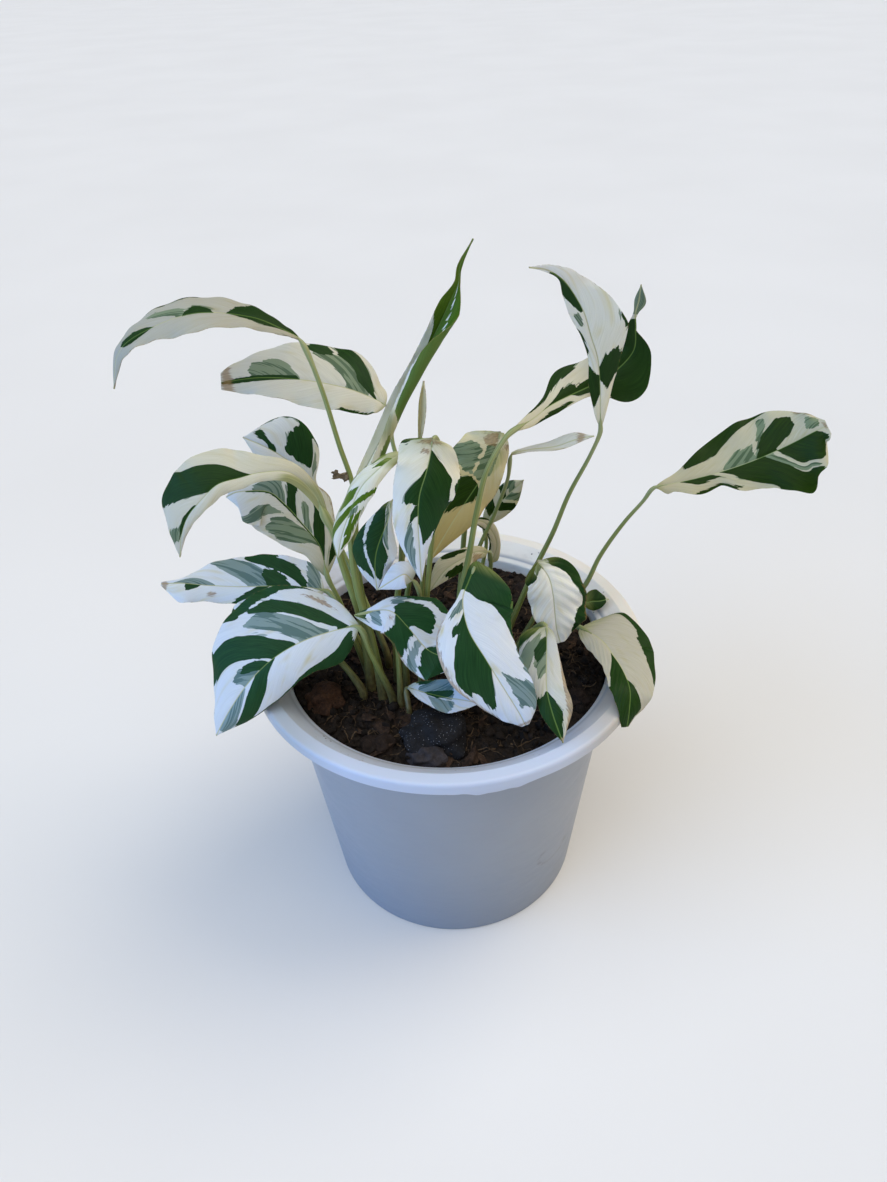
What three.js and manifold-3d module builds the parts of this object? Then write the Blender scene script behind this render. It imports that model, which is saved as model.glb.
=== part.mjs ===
// Potted Calathea 'White Fusion': a round white nursery pot filled with potting soil, and the
// plant's leaves, each a waved, thin blade on its own stalk that stands in a hole in the soil.
// Millimetres, +Z up. The origin is the centre of the pot's underside, on the pot's axis.

import * as THREE from 'three';
import { mergeVertices } from 'three/addons/utils/BufferGeometryUtils.js';
import Module from 'manifold-3d';

const wasm = await Module();
wasm.setup();

// ---------------------------------------------------------------- driving dimensions

const RIM_RADIUS = 100; // outside of the pot's lip
const POT_HEIGHT = 156;
const FOOT_RADIUS = 70; // outside of the pot at its base
const NECK_RADIUS = 85; // outside of the pot's wall where it turns out into the lip
const NECK_HEIGHT = 148;
const LIP = { height: 6, thickness: 1.6, top: 7 }; // the lip's outer edge, and its flat top's width
const WALL = 2.5; // thickness of the pot's wall
const FLOOR = 3; // thickness of the pot's floor
const POT_SEGMENTS = 48;
const COLLAR = { low: 136, depth: 1.5 }; // slightly thicker band of the wall under the lip
const DRAIN = { count: 6, radius: 4.5, circle: 45 };

const SOIL_HEIGHT = 144; // level of the soil
const SOIL_GAP = 0.4; // between the soil and the pot
const SOIL_RINGS = [76, 64, 50, 34, 16];
const SOIL_RELIEF = 1.2; // rise and fall of the soil's surface
const HOLE_GAP = 0.5; // round a stalk, in the soil
const STALK_DEPTH = 12; // how far a stalk stands in the soil
const STALK_SIDES = 6;
const STALK_STEPS = 5; // steps along a stalk, and two more for each point that it passes

const BLADE = 0.8; // thickness of a leaf blade
// Grids of the blades: rows along the midrib, and columns from the midrib to each edge.
const GRID = {
  long: { rows: 14, columns: 3 },
  large: { rows: 10, columns: 3 },
  medium: { rows: 8, columns: 2 },
  small: { rows: 6, columns: 2 },
  tube: { rows: 14, columns: 5 },
};
const TIP_WIDTH = 0.5; // least half-width of a blade
const ROUND_BASE = 0.1; // share of the length over which a blade's base rounds off

// Lumps on the soil: centre x, y, z and the three half-sizes.
const CLODS = [
  { at: [-6, -60, 145], size: [16, 14, 9] },
  { at: [-12, -73, 145], size: [8, 6, 5] },
  { at: [-62, -32, 144], size: [9, 10, 8] },
  { at: [-34, -63, 143], size: [8, 7, 4] },
  { at: [62, -37, 143], size: [7, 5, 4] },
  { at: [-40, 40, 142], size: [10, 8, 4] },
  { at: [46, 52, 142], size: [8, 9, 4] },
];

// Colours of the leaves' upper sides, stalks, soil and pot.
const COLOUR = {
  white: '#e6e8dc',
  green: '#2f5a2c',
  fresh: '#86a24a',
  yellowed: '#c3b27c',
  dry: '#c9bda4',
  stalk: '#8a9a4c',
  soil: '#2a211c',
  pot: '#dfe3e6',
};

// The leaves. Stations run along the midrib from the stalk to the tip:
// [x, y, z, half-width to the left, half-width to the right], seen from above with the tip ahead.
// facing: the way the upper side looks, from the base to the tip.
// fold: how far both halves rise from the midrib, in degrees. curl: how far the left and the
// right half bend on from there to their edges, from the base to the tip.
// wave: height of the edge's waves in mm, and how many run along the blade.
// stalk: its foot on the soil, the points it passes on the way up, and its radius below and above.
const LEAVES = {
  far_left: {
    stations: [[-58, 16, 310, 1, 1], [-64, 16, 314, 3, 3], [-78, 17, 320, 7, 7],
      [-100, 18, 322, 12, 15], [-120, 16, 317, 8, 10], [-134, 13, 309, 5, 5], [-140, 11, 293, 0, 0]],
    facing: [[0, -4, 10], [0, -2, 10], [-8, -6, 6]],
    fold: 8, curl: [[-30, -20], [-30, -20], [-30, -20]], wave: [0.7, 3], grid: GRID.medium,
    stalk: { foot: [-35, -19], path: [[-38, -15, 170], [-41, -10, 212], [-40, -1, 245],
      [-45, 5, 265], [-51, 12, 290], [-57, 16, 308]], radius: [1.5, 1] },
    colour: COLOUR.white,
  },
  left_upper: {
    stations: [[-24, 22, 275, 5, 3], [-29, 23, 278, 8, 9], [-42, 25, 283, 12, 20],
      [-60, 26, 287, 12, 20], [-79, 26, 289, 9, 16], [-97, 25, 288, 4, 5]],
    facing: [[0, -7, 10], [0, -7, 10], [0, -6, 10]],
    fold: 8, curl: [[-24, -24], [-24, -24], [-24, -24]], wave: [1, 3], grid: GRID.medium,
    stalk: { foot: [-24, -13], path: [[-24, -10, 182], [-19, 1, 215], [-18, 12, 242],
      [-22, 19, 259], [-22, 22, 273]], radius: [1.5, 0.9] },
    colour: COLOUR.white,
  },
  left_arch: {
    stations: [[-51, -14, 234, 1, 1], [-56, -13, 250, 3, 3], [-65, -14, 262, 4, 5], [-77, -16, 264, 4, 8],
      [-86, -18, 263, 5, 14], [-95, -21, 262, 5, 17], [-102, -24, 257, 5, 18], [-109, -26, 250, 4, 16],
      [-113, -28, 242, 2, 7], [-116, -29, 231, 0, 0]],
    facing: [[-2, -8, 6], [0, -7, 9], [-3, -8, 9], [-4, -10, 2]],
    fold: 12, curl: [[-20, -20], [-60, -20], [-60, -20]], wave: [0.8, 3], grid: GRID.long,
    stalk: { foot: [-39, -24], path: [[-41, -20, 184], [-47, -16, 214], [-50, -14, 232]],
      radius: [2.2, 1.7] },
    colour: COLOUR.green,
  },
  left_middle: {
    stations: [[-57, -5, 200, 3, 2], [-59, 0, 214, 9, 9], [-67, 5, 225, 15, 18], [-75, 9, 234, 18, 15],
      [-82, 11, 239, 17, 10], [-95, 10, 240, 14, 4], [-101, 9, 238, 0, 0]],
    facing: [[2, -9, 5], [1, -9, 6], [-1, -7, 8]],
    fold: 8, curl: [[-24, -24], [-24, -24], [-24, -24]], wave: [0.4, 3], grid: GRID.medium,
    stalk: { foot: [-41, -17], path: [[-46, -16, 169], [-52, -9, 189], [-56, -6, 198]],
      radius: [1.5, 1] },
    colour: COLOUR.white,
  },
  left_back: {
    stations: [[-62, 42, 215, 6, 3], [-66, 43, 225, 13, 3], [-72, 44, 233, 13, 16],
      [-84, 45, 243, 10, 19], [-97, 46, 250, 0, 0]],
    facing: [[2, -9, 6], [0, -9, 6], [0, -9, 7]],
    fold: 8, curl: [[-24, -24], [-24, -24], [-24, -24]], wave: [0.4, 3], grid: GRID.medium,
    stalk: { foot: [-31, -6], path: [[-39, 6, 168], [-50, 24, 188], [-59, 38, 205],
      [-62, 42, 213]], radius: [1.5, 1] },
    colour: COLOUR.white,
  },
  left_low: {
    stations: [[-62, 12, 179, 5, 4], [-72, 13, 181, 9, 15], [-89, 15, 181, 11, 18], [-106, 17, 180, 9, 18],
      [-123, 18, 181, 9, 12], [-136, 18, 183, 10, 3], [-146, 18, 183, 1, 1]],
    facing: [[0, -4, 10], [0, -5, 10], [0, -5, 10]],
    fold: 6, curl: [[-50, -10], [-50, -10], [-50, -10]], wave: [0.8, 3], grid: GRID.large,
    stalk: { foot: [-41, -10], path: [[-46, -8, 165], [-54, 4, 175], [-60, 12, 178]],
      radius: [1.6, 1.1] },
    colour: COLOUR.white,
  },
  front_left: {
    stations: [[-41, -32, 191, 5, 4], [-52, -34, 190, 15, 18], [-66, -38, 188, 16, 29],
      [-80, -42, 182, 16, 32], [-93, -46, 171, 16, 26], [-104, -50, 157, 10, 11],
      [-112, -53, 144, 0, 0]],
    facing: [[-1, -7, 10], [-3, -9, 9], [-5, -10, 6]],
    fold: 4, curl: [[-50, -12], [-50, -12], [-50, -12]], wave: [0.8, 3], grid: GRID.large,
    stalk: { foot: [-28, -36], path: [[-37, -35, 178], [-40, -33, 189]], radius: [1.7, 1.1] },
    colour: COLOUR.green,
  },
  front_centre: {
    stations: [[14, -36, 227, 14, 3], [10, -42, 221, 20, 2], [7, -48, 215, 22, 3],
      [9, -56, 205, 21, 15], [16, -63, 194, 15, 19], [24, -68, 180, 13, 14], [30, -71, 169, 9, 9],
      [33, -72, 162, 2, 2]],
    facing: [[0, -6, 10], [0, -8, 8], [-2, -10, 6]],
    fold: 6, curl: [[-20, -24], [-20, -24], [-20, -24]], wave: [0.8, 3], grid: GRID.large,
    stalk: { foot: [15, -37], path: [[9, -42, 194], [7, -44, 210]], radius: [1.6, 1.1] },
    colour: COLOUR.green,
  },
  centre_hanging: {
    stations: [[-3, -44, 291, 6, 10], [-4, -45, 285, 11, 13], [-6, -49, 279, 14, 12], [-9, -53, 271, 13, 11],
      [-10, -56, 261, 9, 10], [-10, -57, 250, 4, 8], [-10, -57, 233, 0, 0]],
    facing: [[0, -8, 6], [0, -10, 4], [0, -10, 3]],
    fold: 4, curl: [[-30, -30], [-30, -30], [-30, -30]], wave: [0.8, 3], grid: GRID.large,
    stalk: { foot: [-13, -27], path: [[-9, -27, 200], [-4, -31, 246], [0, -36, 276],
      [-2, -41, 290]], radius: [1.5, 1] },
    colour: COLOUR.green,
  },
  striped: {
    stations: [[-22, -22, 251, 1, 2], [-24, -25, 243, 2, 7], [-29, -28, 232, 9, 11],
      [-31, -30, 223, 7, 10], [-31, -31, 210, 0, 0]],
    facing: [[0, -10, 4], [-2, -10, 3], [-1, -10, 2]],
    fold: 4, curl: [[-30, -30], [-30, -30], [-30, -30]], wave: [0.6, 2], grid: GRID.medium,
    stalk: { foot: [-26, -21], path: [[-25, -19, 183], [-20, -18, 217], [-19, -19, 242],
      [-21, -20, 250]], radius: [1.5, 1] },
    colour: COLOUR.green,
  },
  yellowed: {
    stations: [[27, 4, 268, 3, 9], [25, 2, 262, 6, 16], [21, -1, 253, 8, 18], [14, -5, 244, 10, 14],
      [5, -11, 233, 8, 8], [-7, -20, 217, 0, 0]],
    facing: [[0, -8, 8], [1, -10, 5], [1, -10, 4]],
    fold: 5, curl: [[-30, -30], [-30, -30], [-30, -30]], wave: [1.2, 3], grid: GRID.large,
    stalk: { foot: [3, -3], path: [[8, 8, 186], [11, 12, 216], [16, 11, 236], [24, 8, 252],
      [28, 6, 266]], radius: [1.6, 1.1] },
    colour: COLOUR.yellowed,
  },
  tall_white: {
    stations: [[73, 12, 264, 1, 1], [72, 11, 274, 3, 3], [71, 11, 286, 5, 6], [69, 10, 298, 4, 11],
      [65, 8, 309, 4, 16], [61, 6, 320, 6, 12], [55, 4, 330, 4, 7], [50, 1, 336, 1, 5],
      [44, -1, 340, 1, 2], [37, -4, 342, 0, 0]],
    facing: [[0, -10, 0], [-1, -10, 0], [-3, -10, 2]],
    fold: 6, curl: [[-30, -16], [-30, -16], [-30, -16]], wave: [1.2, 2], grid: GRID.long,
    stalk: { foot: [29, 1], path: [[40, 3, 181], [46, 5, 196], [53, 7, 212], [60, 9, 232],
      [69, 11, 251], [73, 12, 262]], radius: [1.7, 0.8] },
    colour: COLOUR.white,
  },
  tall_dark: {
    stations: [[30, -6, 273, 1, 1], [40, 1, 275, 3, 3], [49, 8, 278, 5, 4], [59, 14, 280, 13, 4],
      [70, 20, 282, 12, 6], [80, 24, 286, 11, 15], [88, 27, 294, 7, 9], [88, 27, 304, 5, 0],
      [87, 26, 311, 1, 1], [88, 26, 317, 2, 3], [88, 25, 324, 0, 0]],
    facing: [[0, -7, 7], [0, -9, 6], [-5, -10, 0]],
    fold: 4, curl: [[-20, -20], [-20, -20], [-20, -20]], wave: [1.4, 3], grid: GRID.long,
    stalk: { foot: [8, -27], path: [[7, -27, 202], [11, -25, 223], [15, -20, 243], [20, -14, 260],
      [29, -7, 272]], radius: [1.9, 1] },
    colour: COLOUR.green,
  },
  far_right: {
    stations: [[108, 36, 218, 1, 2], [120, 36, 220, 6, 6], [140, 36, 225, 18, 9],
      [157, 35, 232, 22, 16], [171, 34, 240, 19, 25], [180, 32, 247, 11, 15], [186, 31, 251, 3, 4]],
    facing: [[0, -8, 10], [0, -8, 10], [2, -8, 10]],
    fold: 6, curl: [[-16, -24], [-16, -24], [-16, -24]], wave: [1.4, 5], grid: GRID.long,
    stalk: { foot: [62, 24], path: [[75, 27, 165], [82, 30, 181], [94, 34, 199], [103, 36, 210],
      [107, 36, 217]], radius: [1.6, 0.8] },
    colour: COLOUR.green,
  },
  right_white: {
    stations: [[44, -10, 207, 5, 10], [49, -13, 200, 13, 11], [51, -16, 192, 16, 12],
      [52, -18, 183, 16, 11], [53, -20, 174, 14, 7], [55, -21, 166, 3, 2]],
    facing: [[0, -8, 8], [0, -10, 5], [0, -10, 3]],
    fold: 4, curl: [[-24, -24], [-24, -24], [-24, -24]], wave: [1, 3], grid: GRID.medium,
    stalk: { foot: [35, -4], path: [[45, -2, 169], [49, -3, 185], [44, -8, 205]],
      radius: [1.4, 1] },
    colour: COLOUR.white,
  },
  front_right: {
    stations: [[45, -41, 193, 3, 12], [44, -52, 184, 6, 12], [43, -63, 176, 9, 6],
      [45, -72, 168, 9, 5], [49, -80, 158, 0, 0]],
    facing: [[0, -7, 8], [-2, -8, 6], [-2, -8, 7]],
    fold: 6, curl: [[-24, -24], [-24, -24], [-24, -24]], wave: [0.6, 2], grid: GRID.medium,
    stalk: { foot: [31, -12], path: [[39, -26, 177], [44, -37, 191]], radius: [1.4, 1] },
    colour: COLOUR.green,
  },
  right_rim: {
    stations: [[67, -8, 164, 22, 5], [75, -20, 166, 23, 8], [79, -32, 166, 22, 8], [82, -42, 165, 17, 9],
      [83, -54, 164, 12, 9], [82, -61, 158, 8, 6], [81, -64, 150, 1, 3]],
    facing: [[1, -3, 10], [2, -5, 10], [5, -9, 5]],
    fold: 4, curl: [[-16, -30], [-16, -30], [-16, -30]], wave: [0.8, 2], grid: GRID.medium,
    stalk: { foot: [42, 7], path: [[58, 1, 162], [66, -6, 163]], radius: [1.6, 1.1] },
    colour: COLOUR.white,
  },
  middle_low: {
    stations: [[-42, -36, 200, 1, 2], [-34, -36, 202, 2, 8], [-25, -38, 203, 8, 11], [-18, -42, 197, 19, 10],
      [-10, -46, 187, 17, 12], [-3, -49, 184, 10, 12], [3, -51, 179, 0, 0]],
    facing: [[-2, -7, 9], [0, -7, 8], [2, -8, 6]],
    fold: 6, curl: [[-24, -24], [-24, -24], [-24, -24]], wave: [0.6, 2], grid: GRID.medium,
    stalk: { foot: [-24, -38], path: [[-24, -33, 190], [-25, -35, 200]], radius: [1.4, 0.9] },
    colour: COLOUR.green,
  },
  curled: {
    stations: [[-14, -40, 283, 1, 2], [-20, -43, 282, 3, 4], [-26, -45, 278, 4, 5],
      [-32, -46, 272, 6, 6], [-37, -46, 262, 5, 6], [-42, -45, 249, 4, 6], [-45, -43, 237, 0, 0]],
    facing: [[-4, -8, 6], [-5, -8, 5], [-2, -10, 3]],
    fold: 10, curl: [[-60, -60], [-60, -60], [-60, -60]], wave: [0.4, 2], grid: GRID.medium,
    stalk: { foot: [-21, -31], path: [[-20, -27, 188], [-13, -26, 232], [-10, -33, 271],
      [-13, -39, 283]], radius: [1.5, 1] },
    colour: COLOUR.fresh,
  },
  rolled: {
    stations: [[-39, -21, 255, 2, 2], [-30, -18, 269, 3, 14], [-22, -17, 283, 4, 12], [-14, -17, 297, 5, 10],
      [-7, -17, 310, 4, 12], [0, -17, 323, 4, 12], [5, -17, 333, 4, 8], [9, -17, 341, 2, 1],
      [10, -17, 348, 1, 1], [15, -17, 357, 0, 0]],
    facing: [[0, -10, 4], [0, -10, 4], [4, -9, 2]],
    fold: 8, curl: [[30, 150], [30, 150], [30, 165], [30, 205], [30, 210], [30, 165], [20, 85],
      [20, 60], [10, 10], [0, 0]],
    wave: [0, 1], grid: GRID.tube,
    stalk: { foot: [-33, -31], path: [[-36, -28, 177], [-41, -23, 210], [-41, -20, 236],
      [-39, -21, 253]], radius: [2.1, 1.6] },
    colour: COLOUR.white,
  },
  white_mid: {
    stations: [[-15, -33, 216, 3, 4], [-18, -35, 221, 6, 6], [-23, -36, 219, 5, 5],
      [-30, -36, 214, 0, 0]],
    facing: [[0, -7, 8], [0, -8, 7], [0, -8, 7]],
    fold: 6, curl: [[-24, -24], [-24, -24], [-24, -24]], wave: [0.4, 1], grid: GRID.small,
    stalk: { foot: [-14, -34], path: [[-13, -31, 180], [-12, -29, 205], [-14, -31, 214]],
      radius: [1.4, 0.9] },
    colour: COLOUR.white,
  },
  cream_back: {
    stations: [[21, 4, 204, 3, 2], [15, 2, 206, 4, 3], [8, -1, 204, 5, 5], [0, -4, 200, 5, 6],
      [-8, -7, 190, 0, 0]],
    facing: [[0, -9, 6], [-1, -9, 5], [-1, -10, 4]],
    fold: 6, curl: [[-24, -24], [-24, -24], [-24, -24]], wave: [0.4, 1], grid: GRID.small,
    stalk: { foot: [20, 6], path: [[23, 9, 193], [22, 6, 203]], radius: [1.4, 0.9] },
    colour: COLOUR.yellowed,
  },
  under_left: {
    stations: [[-92, 2, 181, 6, 3], [-98, 0, 180, 6, 6], [-103, -2, 179, 5, 6],
      [-108, -4, 176, 0, 0]],
    facing: [[0, -2, 10], [0, -2, 10], [0, -3, 10]],
    fold: 6, curl: [[-24, -24], [-24, -24], [-24, -24]], wave: [0.4, 1], grid: GRID.small,
    stalk: { foot: [-43, -30], path: [[-53, -24, 162], [-73, -10, 173], [-91, 2, 180]],
      radius: [1.7, 1.1] },
    colour: COLOUR.green,
  },
  // Small leaves of one colour with their stalk: blade and stalk are one body.
  olive: {
    stations: [[21, 26, 207, 2, 2], [26, 26, 214, 5, 6], [31, 26, 221, 6, 7], [36, 25, 227, 5, 4],
      [40, 24, 232, 0, 0]],
    facing: [[0, -9, 5], [0, -9, 5], [0, -9, 5]],
    fold: 6, curl: [[-24, -24], [-24, -24], [-24, -24]], wave: [0.4, 2], grid: GRID.small, joined: true,
    stalk: { foot: [17, 20], path: [[19, 26, 175], [22, 28, 193], [21, 27, 205]], radius: [1.4, 0.9] },
    colour: COLOUR.stalk,
  },
  curl_back: {
    stations: [[24, 22, 185, 3, 4], [27, 22, 196, 4, 2], [24, 21, 206, 3, 3], [19, 20, 212, 3, 2],
      [12, 18, 212, 0, 0]],
    facing: [[2, -10, 2], [2, -10, 4], [0, -9, 6]],
    fold: 6, curl: [[-24, -24], [-24, -24], [-24, -24]], wave: [0.3, 1], grid: GRID.small, joined: true,
    stalk: { foot: [24, 20], path: [[22, 20, 169], [24, 22, 184]], radius: [1.4, 0.9] },
    colour: COLOUR.yellowed,
  },
  small_spear: {
    stations: [[-9, 14, 262, 1, 1], [-8, 14, 271, 2, 2], [-7, 14, 281, 2, 2], [-6, 15, 289, 0, 0]],
    facing: [[2, -10, 2], [2, -10, 2], [2, -10, 2]],
    fold: 15, curl: [[40, 40], [40, 40], [40, 40]], wave: [0, 1], grid: GRID.small, joined: true,
    stalk: { foot: [-16, -14], path: [[-10, -6, 208], [-8, 5, 234], [-8, 14, 261]],
      radius: [1.4, 1] },
    colour: COLOUR.fresh,
  },
  dried: {
    stations: [[32, 5, 257, 1, 1], [41, 6, 258, 2, 1], [52, 6, 259, 4, 2], [61, 6, 262, 4, 2],
      [69, 5, 264, 0, 0]],
    facing: [[0, -6, 10], [0, -6, 10], [0, -6, 10]],
    fold: 4, curl: [[-20, -20], [-20, -20], [-20, -20]], wave: [0.6, 2], grid: GRID.small, joined: true,
    stalk: { foot: [12, -4], path: [[15, 8, 196], [25, 13, 220], [31, 10, 241], [32, 5, 256]],
      radius: [1.3, 0.8] },
    colour: COLOUR.dry,
  },
  right_small: {
    stations: [[74, 22, 156, 2, 3], [78, 22, 157, 6, 5], [82, 22, 157, 6, 4], [87, 22, 158, 0, 0]],
    facing: [[0, -8, 8], [0, -8, 8], [0, -8, 8]],
    fold: 6, curl: [[-24, -24], [-24, -24], [-24, -24]], wave: [0.3, 1], grid: GRID.small, joined: true,
    stalk: { foot: [56, 14], path: [[65, 18, 153], [73, 22, 156]], radius: [1.2, 0.8] },
    colour: COLOUR.green,
  },
  soil_curled: {
    stations: [[-20, -38, 156, 2, 1], [-12, -42, 156, 6, 5], [-2, -46, 156, 9, 8],
      [5, -49, 157, 7, 7], [14, -52, 157, 0, 0]],
    facing: [[0, -8, 10], [0, -8, 10], [0, -8, 10]],
    fold: 14, curl: [[20, 20], [20, 20], [20, 20]], wave: [0.6, 2], grid: GRID.small, joined: true,
    stalk: { foot: [-20, -44], path: [[-21, -37, 155]], radius: [1.2, 0.8] },
    colour: COLOUR.white,
  },
};

// ---------------------------------------------------------------- meshes and solids

const radians = THREE.MathUtils.degToRad;

/** A closed mesh with its shared vertices merged and its empty triangles dropped. */
function closedMesh(geometry) {
  const bare = new THREE.BufferGeometry();
  bare.setAttribute('position', geometry.getAttribute('position'));
  bare.setIndex(geometry.getIndex());
  const merged = mergeVertices(bare, 1e-4);
  const corners = merged.getIndex().array;
  const kept = [];
  for (let i = 0; i < corners.length; i += 3) {
    const [a, b, c] = [corners[i], corners[i + 1], corners[i + 2]];
    if (a !== b && b !== c && c !== a) kept.push(a, b, c);
  }
  merged.setIndex(kept);
  return merged;
}

function toSolid(geometry) {
  const mesh = closedMesh(geometry);
  return new wasm.Manifold(new wasm.Mesh({
    numProp: 3,
    vertProperties: new Float32Array(mesh.getAttribute('position').array),
    triVerts: new Uint32Array(mesh.getIndex().array),
  }));
}

function toGeometry(solid) {
  const { vertProperties, triVerts } = solid.getMesh();
  const geometry = new THREE.BufferGeometry();
  geometry.setAttribute('position', new THREE.BufferAttribute(new Float32Array(vertProperties), 3));
  geometry.setIndex(new THREE.BufferAttribute(new Uint32Array(triVerts), 1));
  return geometry;
}

function meshFromPoints(points, corners) {
  const geometry = new THREE.BufferGeometry();
  geometry.setAttribute('position', new THREE.Float32BufferAttribute(points.flatMap((p) => p.toArray()), 3));
  geometry.setIndex(corners);
  return geometry;
}

/** A body of revolution about the Z axis, from [radius, height] points. */
function turned(profile, segments) {
  const points = profile.map(([r, z]) => new THREE.Vector2(r, z));
  return new THREE.LatheGeometry(points, segments).rotateX(Math.PI / 2);
}

// ---------------------------------------------------------------- smooth values along a leaf

/** Smooth curve through the rows of a table, at a share t of its length (Catmull-Rom). */
function through(rows, t) {
  const last = rows.length - 1;
  const place = THREE.MathUtils.clamp(t, 0, 1) * last;
  const i = Math.min(Math.floor(place), last - 1);
  const f = place - i;
  return rows[0].map((_, k) => {
    const b = rows[i][k];
    const c = rows[i + 1][k];
    const a = i > 0 ? rows[i - 1][k] : 2 * b - c;
    const d = i + 2 <= last ? rows[i + 2][k] : 2 * c - b;
    return 0.5 * (2 * b + (c - a) * f + (2 * a - 5 * b + 4 * c - d) * f * f + (3 * b - a - 3 * c + d) * f ** 3);
  });
}

/** Straight blend between the rows of a table. */
function between(rows, t) {
  const last = rows.length - 1;
  const place = THREE.MathUtils.clamp(t, 0, 1) * last;
  const i = Math.min(Math.floor(place), last - 1);
  return rows[0].map((_, k) => THREE.MathUtils.lerp(rows[i][k], rows[i + 1][k], place - i));
}

/** Where a half-blade of width 1 is, at a share v of it: [sideways, upwards]. */
function bentHalf(fold, curl, v) {
  const start = radians(fold);
  const turn = radians(curl);
  if (Math.abs(turn) < 1e-6) return [v * Math.cos(start), v * Math.sin(start)];
  return [
    (Math.sin(start + turn * v) - Math.sin(start)) / turn,
    (Math.cos(start) - Math.cos(start + turn * v)) / turn,
  ];
}

// ---------------------------------------------------------------- leaf blade

/** The midrib's point, direction, side and upper side at a share t of the blade. */
function ribFrame(leaf, t) {
  const at = (s) => new THREE.Vector3(...through(leaf.stations, s));
  const step = 1e-3;
  const ahead = at(Math.min(t + step, 1)).sub(at(Math.max(t - step, 0))).normalize();
  const up = new THREE.Vector3(...between(leaf.facing, t));
  up.addScaledVector(ahead, -up.dot(ahead)).normalize();
  return { point: at(t), side: ahead.clone().cross(up), up };
}

/** A point of the blade's middle surface; v runs from -1 at the left edge to 1 at the right. */
function bladePoint(leaf, t, v) {
  const { point, side, up } = ribFrame(leaf, t);
  const widths = through(leaf.stations, t).slice(3);
  const half = v < 0 ? 0 : 1;
  const rounding = Math.sqrt(1 - (1 - Math.min(1, t / ROUND_BASE)) ** 2);
  const width = Math.max(widths[half] * rounding, TIP_WIDTH);
  const [out, rise] = bentHalf(leaf.fold, between(leaf.curl.map((pair) => [pair[half]]), t)[0], Math.abs(v));
  const [height, count] = leaf.wave;
  const phase = half * 2.1;
  const waving = height * v * v * Math.sin(2 * Math.PI * count * t + phase) * Math.min(1, width / 8);
  return point
    .addScaledVector(side, Math.sign(v) * width * out)
    .addScaledVector(up, width * rise + waving);
}

/** The blade as a closed thin body. Both faces are split into the same triangles. */
function bladeGeometry(leaf) {
  const { rows, columns } = leaf.grid;
  const across = 2 * columns;
  const grid = [];
  for (let i = 0; i <= rows; i += 1) {
    for (let j = 0; j <= across; j += 1) grid.push(bladePoint(leaf, i / rows, (j - columns) / columns));
  }
  const at = (i, j) => i * (across + 1) + j;
  const normal = (i, j) => {
    const along = grid[at(Math.min(i + 1, rows), j)].clone().sub(grid[at(Math.max(i - 1, 0), j)]);
    const sideways = grid[at(i, Math.min(j + 1, across))].clone().sub(grid[at(i, Math.max(j - 1, 0))]);
    return sideways.cross(along).normalize();
  };
  const points = [];
  for (const sign of [1, -1]) {
    for (let i = 0; i <= rows; i += 1) {
      for (let j = 0; j <= across; j += 1) {
        points.push(grid[at(i, j)].clone().addScaledVector(normal(i, j), (sign * BLADE) / 2));
      }
    }
  }
  const under = grid.length;
  const corners = [];
  for (let i = 0; i < rows; i += 1) {
    for (let j = 0; j < across; j += 1) {
      const [a, b, c, d] = [at(i, j), at(i, j + 1), at(i + 1, j + 1), at(i + 1, j)];
      corners.push(a, b, c, a, c, d);
      corners.push(under + a, under + c, under + b, under + a, under + d, under + c);
    }
  }
  const rim = [];
  for (let j = 0; j < across; j += 1) rim.push(at(0, j));
  for (let i = 0; i < rows; i += 1) rim.push(at(i, across));
  for (let j = across; j > 0; j -= 1) rim.push(at(rows, j));
  for (let i = rows; i > 0; i -= 1) rim.push(at(i, 0));
  rim.forEach((a, k) => {
    const b = rim[(k + 1) % rim.length];
    corners.push(under + a, under + b, b, under + a, b, a);
  });
  return meshFromPoints(points, corners);
}

// ---------------------------------------------------------------- stalk

/** A stalk: a tapering tube that stands straight in the soil and then bends to its blade. */
function stalkGeometry(leaf) {
  const { foot, path, radius } = leaf.stalk;
  const upright = [-STALK_DEPTH, -3, 3].map((z) => [...foot, SOIL_HEIGHT + z]);
  const knots = [...upright, ...path];
  if (leaf.joined) knots.push(ribFrame(leaf, 0.08).point.toArray());
  const curve = new THREE.CatmullRomCurve3(knots.map((p) => new THREE.Vector3(...p)), false, 'centripetal');
  const steps = STALK_STEPS + 2 * path.length;
  const frames = curve.computeFrenetFrames(steps, false);
  const points = [];
  for (let i = 0; i <= steps; i += 1) {
    const centre = curve.getPointAt(i / steps);
    const size = THREE.MathUtils.lerp(radius[0], radius[1], i / steps);
    for (let k = 0; k < STALK_SIDES; k += 1) {
      const angle = (2 * Math.PI * k) / STALK_SIDES;
      points.push(centre.clone()
        .addScaledVector(frames.normals[i], size * Math.cos(angle))
        .addScaledVector(frames.binormals[i], size * Math.sin(angle)));
    }
  }
  const corners = [];
  for (let i = 0; i < steps; i += 1) {
    for (let k = 0; k < STALK_SIDES; k += 1) {
      const a = i * STALK_SIDES + k;
      const b = i * STALK_SIDES + ((k + 1) % STALK_SIDES);
      corners.push(a, b, b + STALK_SIDES, a, b + STALK_SIDES, a + STALK_SIDES);
    }
  }
  const top = steps * STALK_SIDES;
  for (let k = 1; k < STALK_SIDES - 1; k += 1) {
    corners.push(0, k + 1, k);
    corners.push(top, top + k, top + k + 1);
  }
  return meshFromPoints(points, corners);
}

// ---------------------------------------------------------------- pot

/** Outer radius of the pot's tapering wall at a height. */
function wallRadius(z) {
  return FOOT_RADIUS + ((NECK_RADIUS - FOOT_RADIUS) * z) / NECK_HEIGHT;
}

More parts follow.
